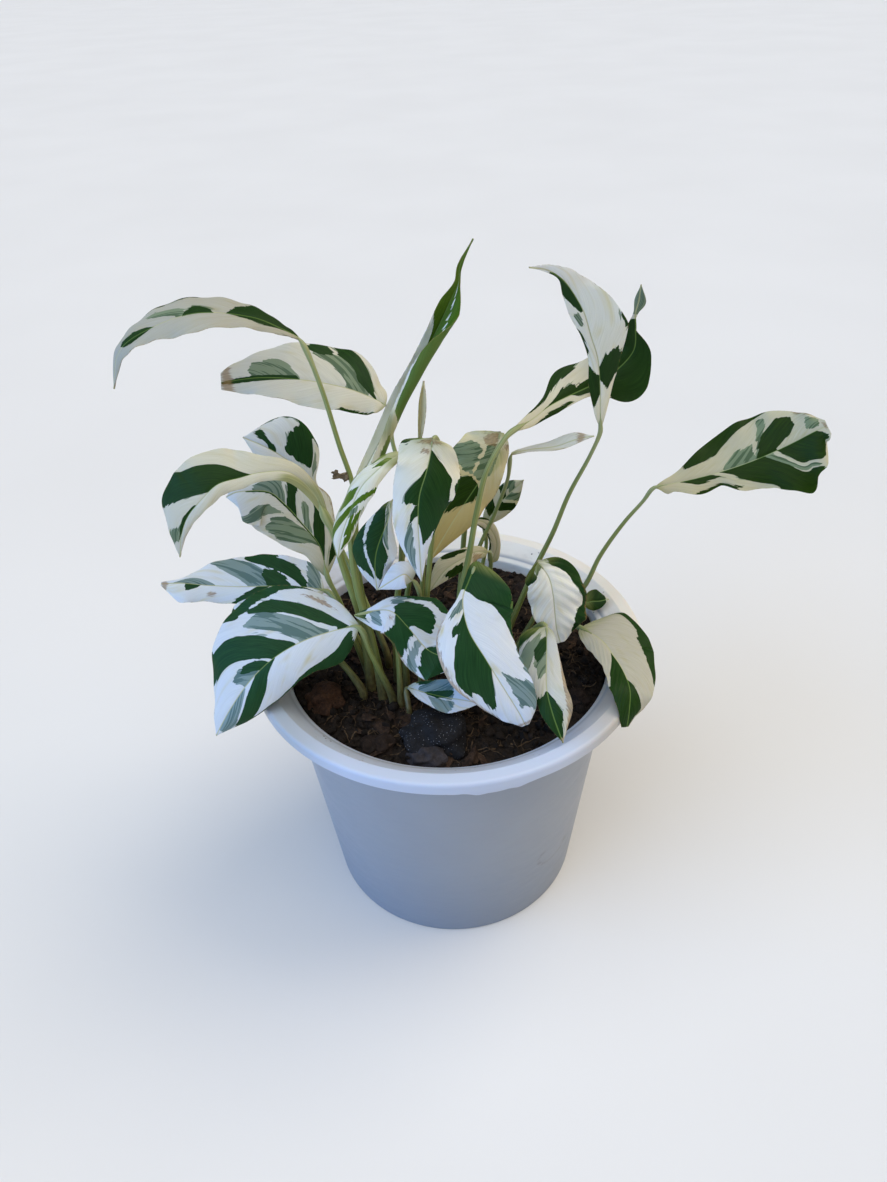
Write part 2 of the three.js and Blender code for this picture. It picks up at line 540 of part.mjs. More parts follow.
/** The pot: a tapering cup with a wide lip that turns down at its edge, and drain holes. */
function potGeometry() {
  const chamfer = 1.5;
  const { height, thickness, top } = LIP;
  const profile = [
    [0, 0],
    [FOOT_RADIUS - chamfer, 0],
    [FOOT_RADIUS, chamfer],
    [wallRadius(COLLAR.low - 0.6), COLLAR.low - 0.6],
    [wallRadius(COLLAR.low) + COLLAR.depth, COLLAR.low],
    [NECK_RADIUS + COLLAR.depth, NECK_HEIGHT],
    [RIM_RADIUS - top, POT_HEIGHT - 2 * thickness],
    [RIM_RADIUS - thickness, POT_HEIGHT - 1.4 * thickness],
    [RIM_RADIUS - thickness, POT_HEIGHT - height],
    [RIM_RADIUS - 0.4, POT_HEIGHT - height],
    [RIM_RADIUS, POT_HEIGHT - height + 1],
    [RIM_RADIUS, POT_HEIGHT - 2.2],
    [RIM_RADIUS - 1, POT_HEIGHT - 0.8],
    [RIM_RADIUS - 3, POT_HEIGHT],
    [RIM_RADIUS - top, POT_HEIGHT - 0.3],
    [NECK_RADIUS - WALL, NECK_HEIGHT],
    [wallRadius(FLOOR) - WALL, FLOOR],
    [0, FLOOR],
  ];
  let solid = toSolid(turned(profile, POT_SEGMENTS));
  for (let i = 0; i < DRAIN.count; i += 1) {
    const angle = (2 * Math.PI * (i + 0.5)) / DRAIN.count;
    const hole = new THREE.CylinderGeometry(DRAIN.radius, DRAIN.radius, 4 * FLOOR, 16)
      .rotateX(Math.PI / 2)
      .translate(DRAIN.circle * Math.cos(angle), DRAIN.circle * Math.sin(angle), 0);
    solid = solid.subtract(toSolid(hole));
  }
  return toGeometry(solid);
}

// ---------------------------------------------------------------- soil

/** Rise and fall of the soil's surface; it fades out at the pot's wall. */
function soilRelief(x, y) {
  const edge = 1 - Math.min(1, Math.hypot(x, y) / (wallRadius(SOIL_HEIGHT) - WALL - SOIL_GAP)) ** 6;
  return SOIL_RELIEF * edge * (Math.sin(x / 9 + 1) * Math.cos(y / 11) + 0.6 * Math.sin((x + y) / 5));
}

/** A lump of soil with an uneven face. */
function clodSolid({ at, size }) {
  const lump = closedMesh(new THREE.IcosahedronGeometry(1, 1));
  const position = lump.getAttribute('position');
  for (let i = 0; i < position.count; i += 1) {
    const p = new THREE.Vector3().fromBufferAttribute(position, i);
    const uneven = 1 + 0.07 * Math.sin(5 * p.x + at[0]) * Math.cos(4 * p.y + at[1]);
    position.setXYZ(i, p.x * uneven * size[0], p.y * uneven * size[1], p.z * uneven * size[2]);
  }
  return toSolid(lump.translate(...at));
}

/** The filling of the pot: it follows the wall with a gap, and each stalk has a hole in it. */
function soilGeometry() {
  const inner = (z) => wallRadius(z) - WALL - SOIL_GAP;
  const floor = FLOOR + SOIL_GAP;
  const profile = [[0, floor], [inner(floor), floor], [inner(SOIL_HEIGHT), SOIL_HEIGHT],
    ...SOIL_RINGS.map((r) => [r, SOIL_HEIGHT]), [0, SOIL_HEIGHT]];
  const body = turned(profile, POT_SEGMENTS);
  const position = body.getAttribute('position');
  for (let i = 0; i < position.count; i += 1) {
    const z = position.getZ(i);
    if (z === SOIL_HEIGHT) position.setZ(i, z + soilRelief(position.getX(i), position.getY(i)));
  }
  let solid = toSolid(body);
  for (const clod of CLODS) solid = solid.add(clodSolid(clod));
  for (const { stalk } of Object.values(LEAVES)) {
    const wide = (stalk.radius[0] + HOLE_GAP) / Math.cos(Math.PI / 8);
    const deep = STALK_DEPTH + HOLE_GAP;
    const hole = new THREE.CylinderGeometry(wide, wide, 2 * deep, 8)
      .rotateX(Math.PI / 2)
      .translate(...stalk.foot, SOIL_HEIGHT);
    solid = solid.subtract(toSolid(hole));
  }
  return toGeometry(solid);
}

// ---------------------------------------------------------------- the plant in its pot

const plant = new THREE.Group();

function addPiece(name, geometry, colour, roughness) {
  const material = new THREE.MeshStandardMaterial({ color: colour, roughness, metalness: 0 });
  const mesh = new THREE.Mesh(geometry, material);
  mesh.name = name;
  plant.add(mesh);
}

addPiece('pot', potGeometry(), COLOUR.pot, 0.4);
addPiece('soil', soilGeometry(), COLOUR.soil, 0.95);
for (const [name, leaf] of Object.entries(LEAVES)) {
  if (leaf.joined) {
    const whole = toSolid(bladeGeometry(leaf)).add(toSolid(stalkGeometry(leaf)));
    addPiece(`leaf_${name}`, toGeometry(whole), leaf.colour, 0.5);
  } else {
    addPiece(`leaf_${name}_blade`, bladeGeometry(leaf), leaf.colour, 0.5);
    addPiece(`leaf_${name}_stalk`, stalkGeometry(leaf), COLOUR.stalk, 0.5);
  }
}

export default plant;
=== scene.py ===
"""A potted Calathea 'White Fusion': fine leaf blades, stalks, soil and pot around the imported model.

Lengths are millimetres, in the model's own frame: +Z up, with the origin at the centre of the pot's
underside. Every mesh is made in millimetres and written out in metres. Materials work in metres.
"""

import math
import random

import bmesh
import bpy
import numpy as np
from mathutils import Euler, Matrix, Quaternion, Vector, noise


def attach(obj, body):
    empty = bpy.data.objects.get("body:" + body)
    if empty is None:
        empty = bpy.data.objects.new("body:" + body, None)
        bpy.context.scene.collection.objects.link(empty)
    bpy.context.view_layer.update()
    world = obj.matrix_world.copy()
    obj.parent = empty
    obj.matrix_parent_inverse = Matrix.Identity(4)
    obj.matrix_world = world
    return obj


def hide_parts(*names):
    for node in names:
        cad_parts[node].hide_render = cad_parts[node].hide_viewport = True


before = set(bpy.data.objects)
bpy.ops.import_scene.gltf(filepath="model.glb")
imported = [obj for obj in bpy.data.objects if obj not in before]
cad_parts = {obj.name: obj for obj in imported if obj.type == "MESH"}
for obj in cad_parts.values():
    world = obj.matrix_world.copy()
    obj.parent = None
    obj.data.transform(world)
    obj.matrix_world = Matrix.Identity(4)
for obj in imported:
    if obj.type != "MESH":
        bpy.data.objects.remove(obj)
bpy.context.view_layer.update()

MM = 0.001
SEED = 11

# ---------------- camera and lights

PICTURE = (887, 1182)  # pixels across and down
FOCAL_PIXELS = 882.6
LOOKING_DOWN = 36.96  # degrees
ROLL = -2.349  # degrees
CAMERA_DISTANCE = 549.25
TARGET_ACROSS = -7.16  # of the point in the middle of the view, along the view's own axes
TARGET_UP = 147.34
SENSOR = 36.0

# Soft far lights: the way each one shines, its strength, its colour and its softness in degrees.
LIGHTS = {
    "sky_panel": ((0.20, 0.35, -1.0), 1.9, (0.87, 0.92, 0.97), 75),
    "warm_key": ((-0.5, -0.2, -0.8), 1.25, (1.0, 0.93, 0.80), 40),
    "blue_side": ((0.9, 0.35, -0.2), 2.4, (0.12, 0.43, 1.0), 60),
    "warm_side": ((-0.95, 0.10, -0.15), 0.9, (1.0, 0.70, 0.38), 60),
}
# Even light from all sides: its colour and its strength.
SKY = ((0.88, 0.94, 1.0), 0.16)
FLOOR_REACH = 20000

# ---------------- pot and soil

RIM_RADIUS = 100
POT_HEIGHT = 156
FOOT_RADIUS = 70
NECK_RADIUS = 85
NECK_HEIGHT = 148
LIP_HEIGHT = 6
LIP_THICKNESS = 1.6
LIP_TOP = 7
WALL = 2.5
FLOOR = 3
COLLAR_LOW = 136  # where the thicker band of the wall under the lip begins
COLLAR_DEPTH = 1.5
COLLAR_STEP = 0.6
POT_SEGMENTS = 240
DRAIN_HOLES = 6
DRAIN_RADIUS = 4.5
DRAIN_CIRCLE = 45
BURR_ANGLES = (-92, -67)  # degrees round the lip between which a burr hangs from it
BURR_STEPS = 90
BURR_THICKNESS = 0.5
SCUFF_AT = (52, 46)  # x and z of the rubbed mark on the pot's front
SCUFF_RADIUS = 8
SCUFF_EDGE = (1.7, 0.4)  # how far from its ring the mark begins, and how far it is full
SCUFF_OPENS = (6, 2)  # heights over its middle: above the first it is open, below the second whole
SHADE_HEIGHT = 90  # below it the wall's painted shade deepens down to its foot
# Where the plastic's parts begin, each as the two distances between which one gives way to the next: the
# lip's painted light gives way to the wall's painted shade.
LIP_FROM_HEIGHT = (149.5, 151.5)
LIP_FROM_REACH = (96, 98)
INSIDE_FROM_HEIGHT = (138, 140)
INSIDE_FROM_REACH = (85.2, 84.2)
# round the rim's inside: soil specks, and a mark that is partly soil and partly painted warm shade
DIRT_AND_WARM_SHADE_FROM_HEIGHT = (143, 144.5)
DIRT_AND_WARM_SHADE_FROM_REACH = (95.5, 88)

SOIL_HEIGHT = 144
SOIL_GAP = 0.4
SOIL_RING_GAP = 1.0
SOIL_SEGMENTS = 400
CRUMBS = 2400
CRUMB_REACH = 80
CRUMB_SIZES = (0.5, 2.6)  # the smallest, and how much larger a crumb can be
CHIPS = 110
CHIP_REACH = 77
CHIP_LENGTHS = (2, 7.5)
CHIP_TILT = 0.35  # radians
FIBRES = 600
FIBRE_REACH = 74
FIBRE_LENGTHS = (6, 20)
FIBRE_RADII = (0.15, 0.5)
FIBRE_BENDS = 7
FIBRE_LIMIT = 78  # how far from the pot's axis a fibre may run
# Lumps on the soil: centre and half-sizes.
CLODS = [
    ((-6, -60, 145), (16, 14, 9)),
    ((-12, -73, 145), (8, 6, 5)),
    ((-62, -32, 144), (9, 10, 8)),
    ((-34, -63, 143), (8, 7, 4)),
    ((62, -37, 143), (7, 5, 4)),
    ((-40, 40, 142), (10, 8, 4)),
    ((46, 52, 142), (8, 9, 4)),
]

# Parts of a dried bit on a stalk: centre, half-sizes and turn.
SCRAP = [
    ((-44.5, 0, 252), (3.4, 0.7, 1.1), (0.3, -0.2, 0.2)),
    ((-47.5, -0.5, 253.5), (1.4, 0.5, 1.3), (0, 0.7, 0)),
    ((-43, 0.2, 250.5), (1.3, 0.6, 1.6), (0.4, 0.3, 0)),
]

# ---------------- leaves

STALK_DEPTH = 12  # how far a stalk reaches into the soil
STALK_SIDES = 14
STALK_STEP = 1.6
SHEATH = (0.35, 16)  # at a stalk's foot: how much thicker it is, and over what length
JOINT = (0.3, 4.5, 9)  # below a blade: how much thicker, over what length, and how far below
TIP_WIDTH = 0.25
ROUND_BASE = 0.1  # share of a blade's length in which its base rounds off
BLADE = 0.5  # thickness of a blade away from its midrib
THINNING = 0.6  # share of the thickness that is gone at the edge
CELL = 0.9  # size of the blades' mesh along the midrib
LEAST_ROWS = 24
HALF_COLUMNS = (9, 22)  # fewest and most of the mesh's cells across half a blade
VEIN_SLANT = 0.3  # how far along the blade a side vein runs forward on its way to the edge
VEIN_GAP = 5.2  # from one side vein to the next
PLEAT = 0.16  # height of the swell between side veins
RUFFLE = (0.4, 10.5)  # height and length of the small waves at the edge
GROOVE = 0.3  # depth of the midrib's groove on the upper side
RIDGE = 0.8  # height of the midrib on the underside, at the base
RIB_SPREAD = 0.8  # half-width of that groove and that ridge
LIMP_WIDTH = 8  # half-width from which on a blade has its full waves
RIPPLE_WIDTH = 10  # half-width from which on its outline has its full scallops

# The leaves. Stations run along the midrib from the stalk to the tip:
# (x, y, z, half-width to the left, half-width to the right), seen from above with the tip ahead.
# facing: the way the upper side looks, from the base to the tip.
# fold: how far both halves rise from the midrib, in degrees. curl: how far the left and the
# right half bend on from there to their edges, from the base to the tip.
# wave: height of the edge's waves, and how many run along the blade.
# frill: height of the scallops in the outline, left and right, where it isn't the waves' own.
# foot: where the stalk leaves the soil. path: the points it passes. radius: below and above.
LEAVES = {
    "far_left": {
        "stations": [(-58, 16, 310, 1, 1), (-64, 16, 314, 3, 3), (-78, 17, 320, 7, 7),
         (-100, 18, 322, 12, 15), (-120, 16, 317, 8, 10), (-134, 13, 309, 5, 5), (-140, 11, 293, 0, 0)],
        "facing": [(0, -4, 10), (0, -2, 10), (-8, -6, 6)],
        "fold": 8, "wave": (0.7, 3), "curl": [(-30, -20)],
        "foot": (-35, -19), "radius": (1.5, 1), "path": [(-38, -15, 170), (-41, -10, 212), (-40, -1, 245),
         (-45, 5, 265), (-51, 12, 290), (-57, 16, 308)],
    },
    "left_upper": {
        "stations": [(-24, 22, 275, 5, 3), (-29, 23, 278, 8, 9), (-42, 25, 283, 12, 20),
         (-60, 26, 287, 12, 20), (-79, 26, 289, 9, 16), (-97, 25, 288, 4, 5)],
        "facing": [(0, -7, 10), (0, -7, 10), (0, -6, 10)],
        "fold": 8, "wave": (1, 3), "curl": [(-24, -24)],
        "foot": (-24, -13), "radius": (1.5, 0.9), "path": [(-24, -10, 182), (-19, 1, 215), (-18, 12, 242),
         (-22, 19, 259), (-22, 22, 273)],
    },
    "left_arch": {
        "stations": [(-51, -14, 234, 1, 1), (-56, -13, 250, 3, 3), (-65, -14, 262, 4, 5),
         (-77, -16, 264, 4, 8), (-86, -18, 263, 5, 14), (-95, -21, 262, 5, 17), (-102, -24, 257, 5, 18),
         (-109, -26, 250, 4, 16), (-113, -28, 242, 2, 7), (-116, -29, 231, 0, 0)],
        "facing": [(-2, -8, 6), (0, -7, 9), (-3, -8, 9), (-4, -10, 2)],
        "fold": 12, "wave": (0.8, 3), "curl": [(-20, -20), (-60, -20), (-60, -20)],
        "foot": (-39, -24), "radius": (2.2, 1.7), "path": [(-41, -20, 184), (-47, -16, 214),
         (-50, -14, 232)],
    },
    "left_middle": {
        "stations": [(-57, -5, 200, 3, 2), (-59, 0, 214, 9, 9), (-67, 5, 225, 15, 18),
         (-75, 9, 234, 18, 15), (-82, 11, 239, 17, 10), (-95, 10, 240, 14, 4), (-101, 9, 238, 0, 0)],
        "facing": [(2, -9, 5), (1, -9, 6), (-1, -7, 8)],
        "fold": 8, "wave": (0.4, 3), "curl": [(-24, -24)],
        "foot": (-41, -17), "radius": (1.5, 1), "path": [(-46, -16, 169), (-52, -9, 189), (-56, -6, 198)],
    },
    "left_back": {
        "stations": [(-62, 42, 215, 6, 3), (-66, 43, 225, 13, 3), (-72, 44, 233, 13, 16),
         (-84, 45, 243, 10, 19), (-97, 46, 250, 0, 0)],
        "facing": [(2, -9, 6), (0, -9, 6), (0, -9, 7)],
        "fold": 8, "wave": (0.4, 3), "curl": [(-24, -24)],
        "foot": (-31, -6), "radius": (1.5, 1), "path": [(-39, 6, 168), (-50, 24, 188), (-59, 38, 205),
         (-62, 42, 213)],
    },
    "left_low": {
        "stations": [(-62, 12, 179, 5, 4), (-72, 13, 181, 9, 15), (-89, 15, 181, 11, 18),
         (-106, 17, 180, 9, 18), (-123, 18, 181, 9, 12), (-136, 18, 183, 10, 3), (-146, 18, 183, 1, 1)],
        "facing": [(0, -4, 10), (0, -5, 10), (0, -5, 10)],
        "fold": 6, "wave": (0.8, 3), "curl": [(-50, -10)],
        "foot": (-41, -10), "radius": (1.6, 1.1), "path": [(-46, -8, 165), (-54, 4, 175), (-60, 12, 178)],
    },
    "front_left": {
        "stations": [(-41, -32, 191, 5, 4), (-52, -34, 190, 15, 18), (-66, -38, 188, 16, 29),
         (-80, -42, 182, 16, 32), (-93, -46, 171, 16, 26), (-104, -50, 157, 10, 11),
         (-112, -53, 144, 0, 0)],
        "facing": [(-1, -7, 10), (-3, -9, 9), (-5, -10, 6)],
        "fold": 4, "wave": (0.8, 3), "curl": [(-50, -12)],
        "foot": (-28, -36), "radius": (1.7, 1.1), "path": [(-37, -35, 178), (-40, -33, 189)],
    },
    "front_centre": {
        "stations": [(14, -36, 227, 14, 3), (10, -42, 221, 20, 2), (7, -48, 215, 22, 3),
         (9, -56, 205, 21, 15), (16, -63, 194, 15, 19), (24, -68, 180, 13, 14), (30, -71, 169, 9, 9),
         (33, -72, 162, 2, 2)],
        "facing": [(0, -6, 10), (0, -8, 8), (-2, -10, 6)],
        "fold": 6, "wave": (0.8, 3), "curl": [(-20, -24)],
        "foot": (15, -37), "radius": (1.6, 1.1), "path": [(9, -42, 194), (7, -44, 210)],
    },
    "centre_hanging": {
        "stations": [(-3, -44, 291, 6, 10), (-4, -45, 285, 11, 13), (-6, -49, 279, 14, 12),
         (-9, -53, 271, 13, 11), (-10, -56, 261, 9, 10), (-10, -57, 250, 4, 8), (-10, -57, 233, 0, 0)],
        "facing": [(0, -8, 6), (0, -10, 4), (0, -10, 3)],
        "fold": 4, "wave": (0.8, 3), "curl": [(-30, -30)],
        "foot": (-13, -27), "radius": (1.5, 1), "path": [(-9, -27, 200), (-4, -31, 246), (0, -36, 276),
         (-2, -41, 290)],
    },
    "striped": {
        "stations": [(-22, -22, 251, 1, 2), (-24, -25, 243, 2, 7), (-29, -28, 232, 9, 11),
         (-31, -30, 223, 7, 10), (-31, -31, 210, 0, 0)],
        "facing": [(0, -10, 4), (-2, -10, 3), (-1, -10, 2)],
        "fold": 4, "wave": (0.6, 2), "curl": [(-30, -30)],
        "foot": (-26, -21), "radius": (1.5, 1), "path": [(-25, -19, 183), (-20, -18, 217),
         (-19, -19, 242), (-21, -20, 250)],
    },
    "yellowed": {
        "stations": [(27, 4, 268, 3, 9), (25, 2, 262, 6, 16), (21, -1, 253, 8, 18), (14, -5, 244, 10, 14),
         (5, -11, 233, 8, 8), (-7, -20, 217, 0, 0)],
        "facing": [(0, -8, 8), (1, -10, 5), (1, -10, 4)],
        "fold": 5, "wave": (1.2, 3), "curl": [(-30, -30)],
        "foot": (3, -3), "radius": (1.6, 1.1), "path": [(8, 8, 186), (11, 12, 216), (16, 11, 236),
         (24, 8, 252), (28, 6, 266)],
    },
    "tall_white": {
        "stations": [(73, 12, 264, 1, 1), (72, 11, 274, 3, 3), (71, 11, 286, 5, 6), (69, 10, 298, 4, 11),
         (65, 8, 309, 4, 16), (61, 6, 320, 6, 12), (55, 4, 330, 4, 7), (50, 1, 336, 1, 5),
         (44, -1, 340, 1, 2), (37, -4, 342, 0, 0)],
        "facing": [(0, -10, 0), (-1, -10, 0), (-3, -10, 2)],
        "fold": 6, "wave": (1.2, 2), "frill": (0.6, 2.0), "curl": [(-30, -16)],
        "foot": (29, 1), "radius": (1.7, 0.8), "path": [(40, 3, 181), (46, 5, 196), (53, 7, 212),
         (60, 9, 232), (69, 11, 251), (73, 12, 262)],
    },
    "tall_dark": {
        "stations": [(30, -6, 273, 1, 1), (40, 1, 275, 3, 3), (49, 8, 278, 5, 4), (59, 14, 280, 13, 4),
         (70, 20, 282, 12, 6), (80, 24, 286, 11, 15), (88, 27, 294, 7, 9), (88, 27, 304, 5, 0),
         (87, 26, 311, 1, 1), (88, 26, 317, 2, 3), (88, 25, 324, 0, 0)],
        "facing": [(0, -7, 7), (0, -9, 6), (-5, -10, 0)],
        "fold": 4, "wave": (1.4, 3), "frill": (0.8, -4.0), "curl": [(-20, -20)],
        "foot": (8, -27), "radius": (1.9, 1), "path": [(7, -27, 202), (11, -25, 223), (15, -20, 243),
         (20, -14, 260), (29, -7, 272)],
    },
    "far_right": {
        "stations": [(108, 36, 218, 1, 2), (120, 36, 220, 6, 6), (140, 36, 225, 18, 9),
         (157, 35, 232, 22, 16), (171, 34, 240, 19, 25), (180, 32, 247, 11, 15), (186, 31, 251, 3, 4)],
        "facing": [(0, -8, 10), (0, -8, 10), (2, -8, 10)],
        "fold": 6, "wave": (1.4, 5), "frill": (0.3, 6.0), "curl": [(-16, -24)],
        "foot": (62, 24), "radius": (1.6, 0.8), "path": [(75, 27, 165), (82, 30, 181), (94, 34, 199),
         (103, 36, 210), (107, 36, 217)],
    },
    "right_white": {
        "stations": [(44, -10, 207, 5, 10), (49, -13, 200, 13, 11), (51, -16, 192, 16, 12),
         (52, -18, 183, 16, 11), (53, -20, 174, 14, 7), (55, -21, 166, 3, 2)],
        "facing": [(0, -8, 8), (0, -10, 5), (0, -10, 3)],
        "fold": 4, "wave": (1, 3), "curl": [(-24, -24)],
        "foot": (35, -4), "radius": (1.4, 1), "path": [(45, -2, 169), (49, -3, 185), (44, -8, 205)],
    },
    "front_right": {
        "stations": [(45, -41, 193, 3, 12), (44, -52, 184, 6, 12), (43, -63, 176, 9, 6),
         (45, -72, 168, 9, 5), (49, -80, 158, 0, 0)],
        "facing": [(0, -7, 8), (-2, -8, 6), (-2, -8, 7)],
        "fold": 6, "wave": (0.6, 2), "curl": [(-24, -24)],
        "foot": (31, -12), "radius": (1.4, 1), "path": [(39, -26, 177), (44, -37, 191)],
    },
    "right_rim": {
        "stations": [(67, -8, 164, 22, 5), (75, -20, 166, 23, 8), (79, -32, 166, 22, 8),
         (82, -42, 165, 17, 9), (83, -54, 164, 12, 9), (82, -61, 158, 8, 6), (81, -64, 150, 1, 3)],
        "facing": [(1, -3, 10), (2, -5, 10), (5, -9, 5)],
        "fold": 4, "wave": (0.8, 2), "curl": [(-16, -30)],
        "foot": (42, 7), "radius": (1.6, 1.1), "path": [(58, 1, 162), (66, -6, 163)],
    },
    "middle_low": {
        "stations": [(-42, -36, 200, 1, 2), (-34, -36, 202, 2, 8), (-25, -38, 203, 8, 11),
         (-18, -42, 197, 19, 10), (-10, -46, 187, 17, 12), (-3, -49, 184, 10, 12), (3, -51, 179, 0, 0)],
        "facing": [(-2, -7, 9), (0, -7, 8), (2, -8, 6)],
        "fold": 6, "wave": (0.6, 2), "curl": [(-24, -24)],
        "foot": (-24, -38), "radius": (1.4, 0.9), "path": [(-24, -33, 190), (-25, -35, 200)],
    },
    "curled": {
        "stations": [(-14, -40, 283, 1, 2), (-20, -43, 282, 3, 4), (-26, -45, 278, 4, 5),
         (-32, -46, 272, 6, 6), (-37, -46, 262, 5, 6), (-42, -45, 249, 4, 6), (-45, -43, 237, 0, 0)],
        "facing": [(-4, -8, 6), (-5, -8, 5), (-2, -10, 3)],
        "fold": 10, "wave": (0.4, 2), "curl": [(-60, -60)],
        "foot": (-21, -31), "radius": (1.5, 1), "path": [(-20, -27, 188), (-13, -26, 232),
         (-10, -33, 271), (-13, -39, 283)],
    },
    "rolled": {
        "stations": [(-39, -21, 255, 2, 2), (-30, -18, 269, 3, 14), (-22, -17, 283, 4, 12),
         (-14, -17, 297, 5, 10), (-7, -17, 310, 4, 12), (0, -17, 323, 4, 12), (5, -17, 333, 4, 8),
         (9, -17, 341, 2, 1), (10, -17, 348, 1, 1), (15, -17, 357, 0, 0)],
        "facing": [(0, -10, 4), (0, -10, 4), (4, -9, 2)],
        "fold": 8, "wave": (0, 1), "curl": [(30, 150), (30, 150), (30, 165), (30, 205), (30, 210),
         (30, 165), (20, 85), (20, 60), (10, 10), (0, 0)],
        "foot": (-33, -31), "radius": (2.1, 1.6), "path": [(-36, -28, 177), (-41, -23, 210),
         (-41, -20, 236), (-39, -21, 253)],
    },
    "white_mid": {
        "stations": [(-15, -33, 216, 3, 4), (-18, -35, 221, 6, 6), (-23, -36, 219, 5, 5),
         (-30, -36, 214, 0, 0)],
        "facing": [(0, -7, 8), (0, -8, 7), (0, -8, 7)],
        "fold": 6, "wave": (0.4, 1), "curl": [(-24, -24)],
        "foot": (-14, -34), "radius": (1.4, 0.9), "path": [(-13, -31, 180), (-12, -29, 205),
         (-14, -31, 214)],
    },
    "cream_back": {
        "stations": [(21, 4, 204, 3, 2), (15, 2, 206, 4, 3), (8, -1, 204, 5, 5), (0, -4, 200, 5, 6),
         (-8, -7, 190, 0, 0)],
        "facing": [(0, -9, 6), (-1, -9, 5), (-1, -10, 4)],
        "fold": 6, "wave": (0.4, 1), "curl": [(-24, -24)],
        "foot": (20, 6), "radius": (1.4, 0.9), "path": [(23, 9, 193), (22, 6, 203)],
    },
    "under_left": {
        "stations": [(-92, 2, 181, 6, 3), (-98, 0, 180, 6, 6), (-103, -2, 179, 5, 6),
         (-108, -4, 176, 0, 0)],
        "facing": [(0, -2, 10), (0, -2, 10), (0, -3, 10)],
        "fold": 6, "wave": (0.4, 1), "curl": [(-24, -24)],
        "foot": (-43, -30), "radius": (1.7, 1.1), "path": [(-53, -24, 162), (-73, -10, 173),
         (-91, 2, 180)],
    },
    # Small leaves, each of one body with its stalk.
    "olive": {
        "stations": [(21, 26, 207, 2, 2), (26, 26, 214, 5, 6), (31, 26, 221, 6, 7), (36, 25, 227, 5, 4),
         (40, 24, 232, 0, 0)],
        "facing": [(0, -9, 5)],
        "fold": 6, "wave": (0.4, 2), "curl": [(-24, -24)],
        "foot": (17, 20), "radius": (1.4, 0.9), "path": [(19, 26, 175), (22, 28, 193), (21, 27, 205)],
        "joined": True,
    },
    "curl_back": {
        "stations": [(24, 22, 185, 3, 4), (27, 22, 196, 4, 2), (24, 21, 206, 3, 3), (19, 20, 212, 3, 2),
         (12, 18, 212, 0, 0)],
        "facing": [(2, -10, 2), (2, -10, 4), (0, -9, 6)],
        "fold": 6, "wave": (0.3, 1), "curl": [(-24, -24)],
        "foot": (24, 20), "radius": (1.4, 0.9), "path": [(22, 20, 169), (24, 22, 184)],
        "joined": True,
    },
    "small_spear": {
        "stations": [(-9, 14, 262, 1, 1), (-8, 14, 271, 2, 2), (-7, 14, 281, 2, 2), (-6, 15, 289, 0, 0)],
        "facing": [(2, -10, 2)],
        "fold": 15, "wave": (0, 1), "curl": [(40, 40)],
        "foot": (-16, -14), "radius": (1.4, 1), "path": [(-10, -6, 208), (-8, 5, 234), (-8, 14, 261)],
        "joined": True,
    },
    "dried": {
        "stations": [(32, 5, 257, 1, 1), (41, 6, 258, 2, 1), (52, 6, 259, 4, 2), (61, 6, 262, 4, 2),
         (69, 5, 264, 0, 0)],
        "facing": [(0, -6, 10)],
        "fold": 4, "wave": (0.6, 2), "curl": [(-20, -20)],
        "foot": (12, -4), "radius": (1.3, 0.8), "path": [(15, 8, 196), (25, 13, 220), (31, 10, 241),
         (32, 5, 256)],
        "joined": True,
    },
    "right_small": {
        "stations": [(74, 22, 156, 2, 3), (78, 22, 157, 6, 5), (82, 22, 157, 6, 4), (87, 22, 158, 0, 0)],
        "facing": [(0, -8, 8)],
        "fold": 6, "wave": (0.3, 1), "curl": [(-24, -24)],
        "foot": (56, 14), "radius": (1.2, 0.8), "path": [(65, 18, 153), (73, 22, 156)],
        "joined": True,
    },
    "soil_curled": {
        "stations": [(-20, -38, 156, 2, 1), (-12, -42, 156, 6, 5), (-2, -46, 156, 9, 8),
         (5, -49, 157, 7, 7), (14, -52, 157, 0, 0)],
        "facing": [(0, -8, 10)],
        "fold": 14, "wave": (0.6, 2), "curl": [(20, 20)],
        "foot": (-20, -44), "radius": (1.2, 0.8), "path": [(-21, -37, 155)],
        "joined": True,
    },
}
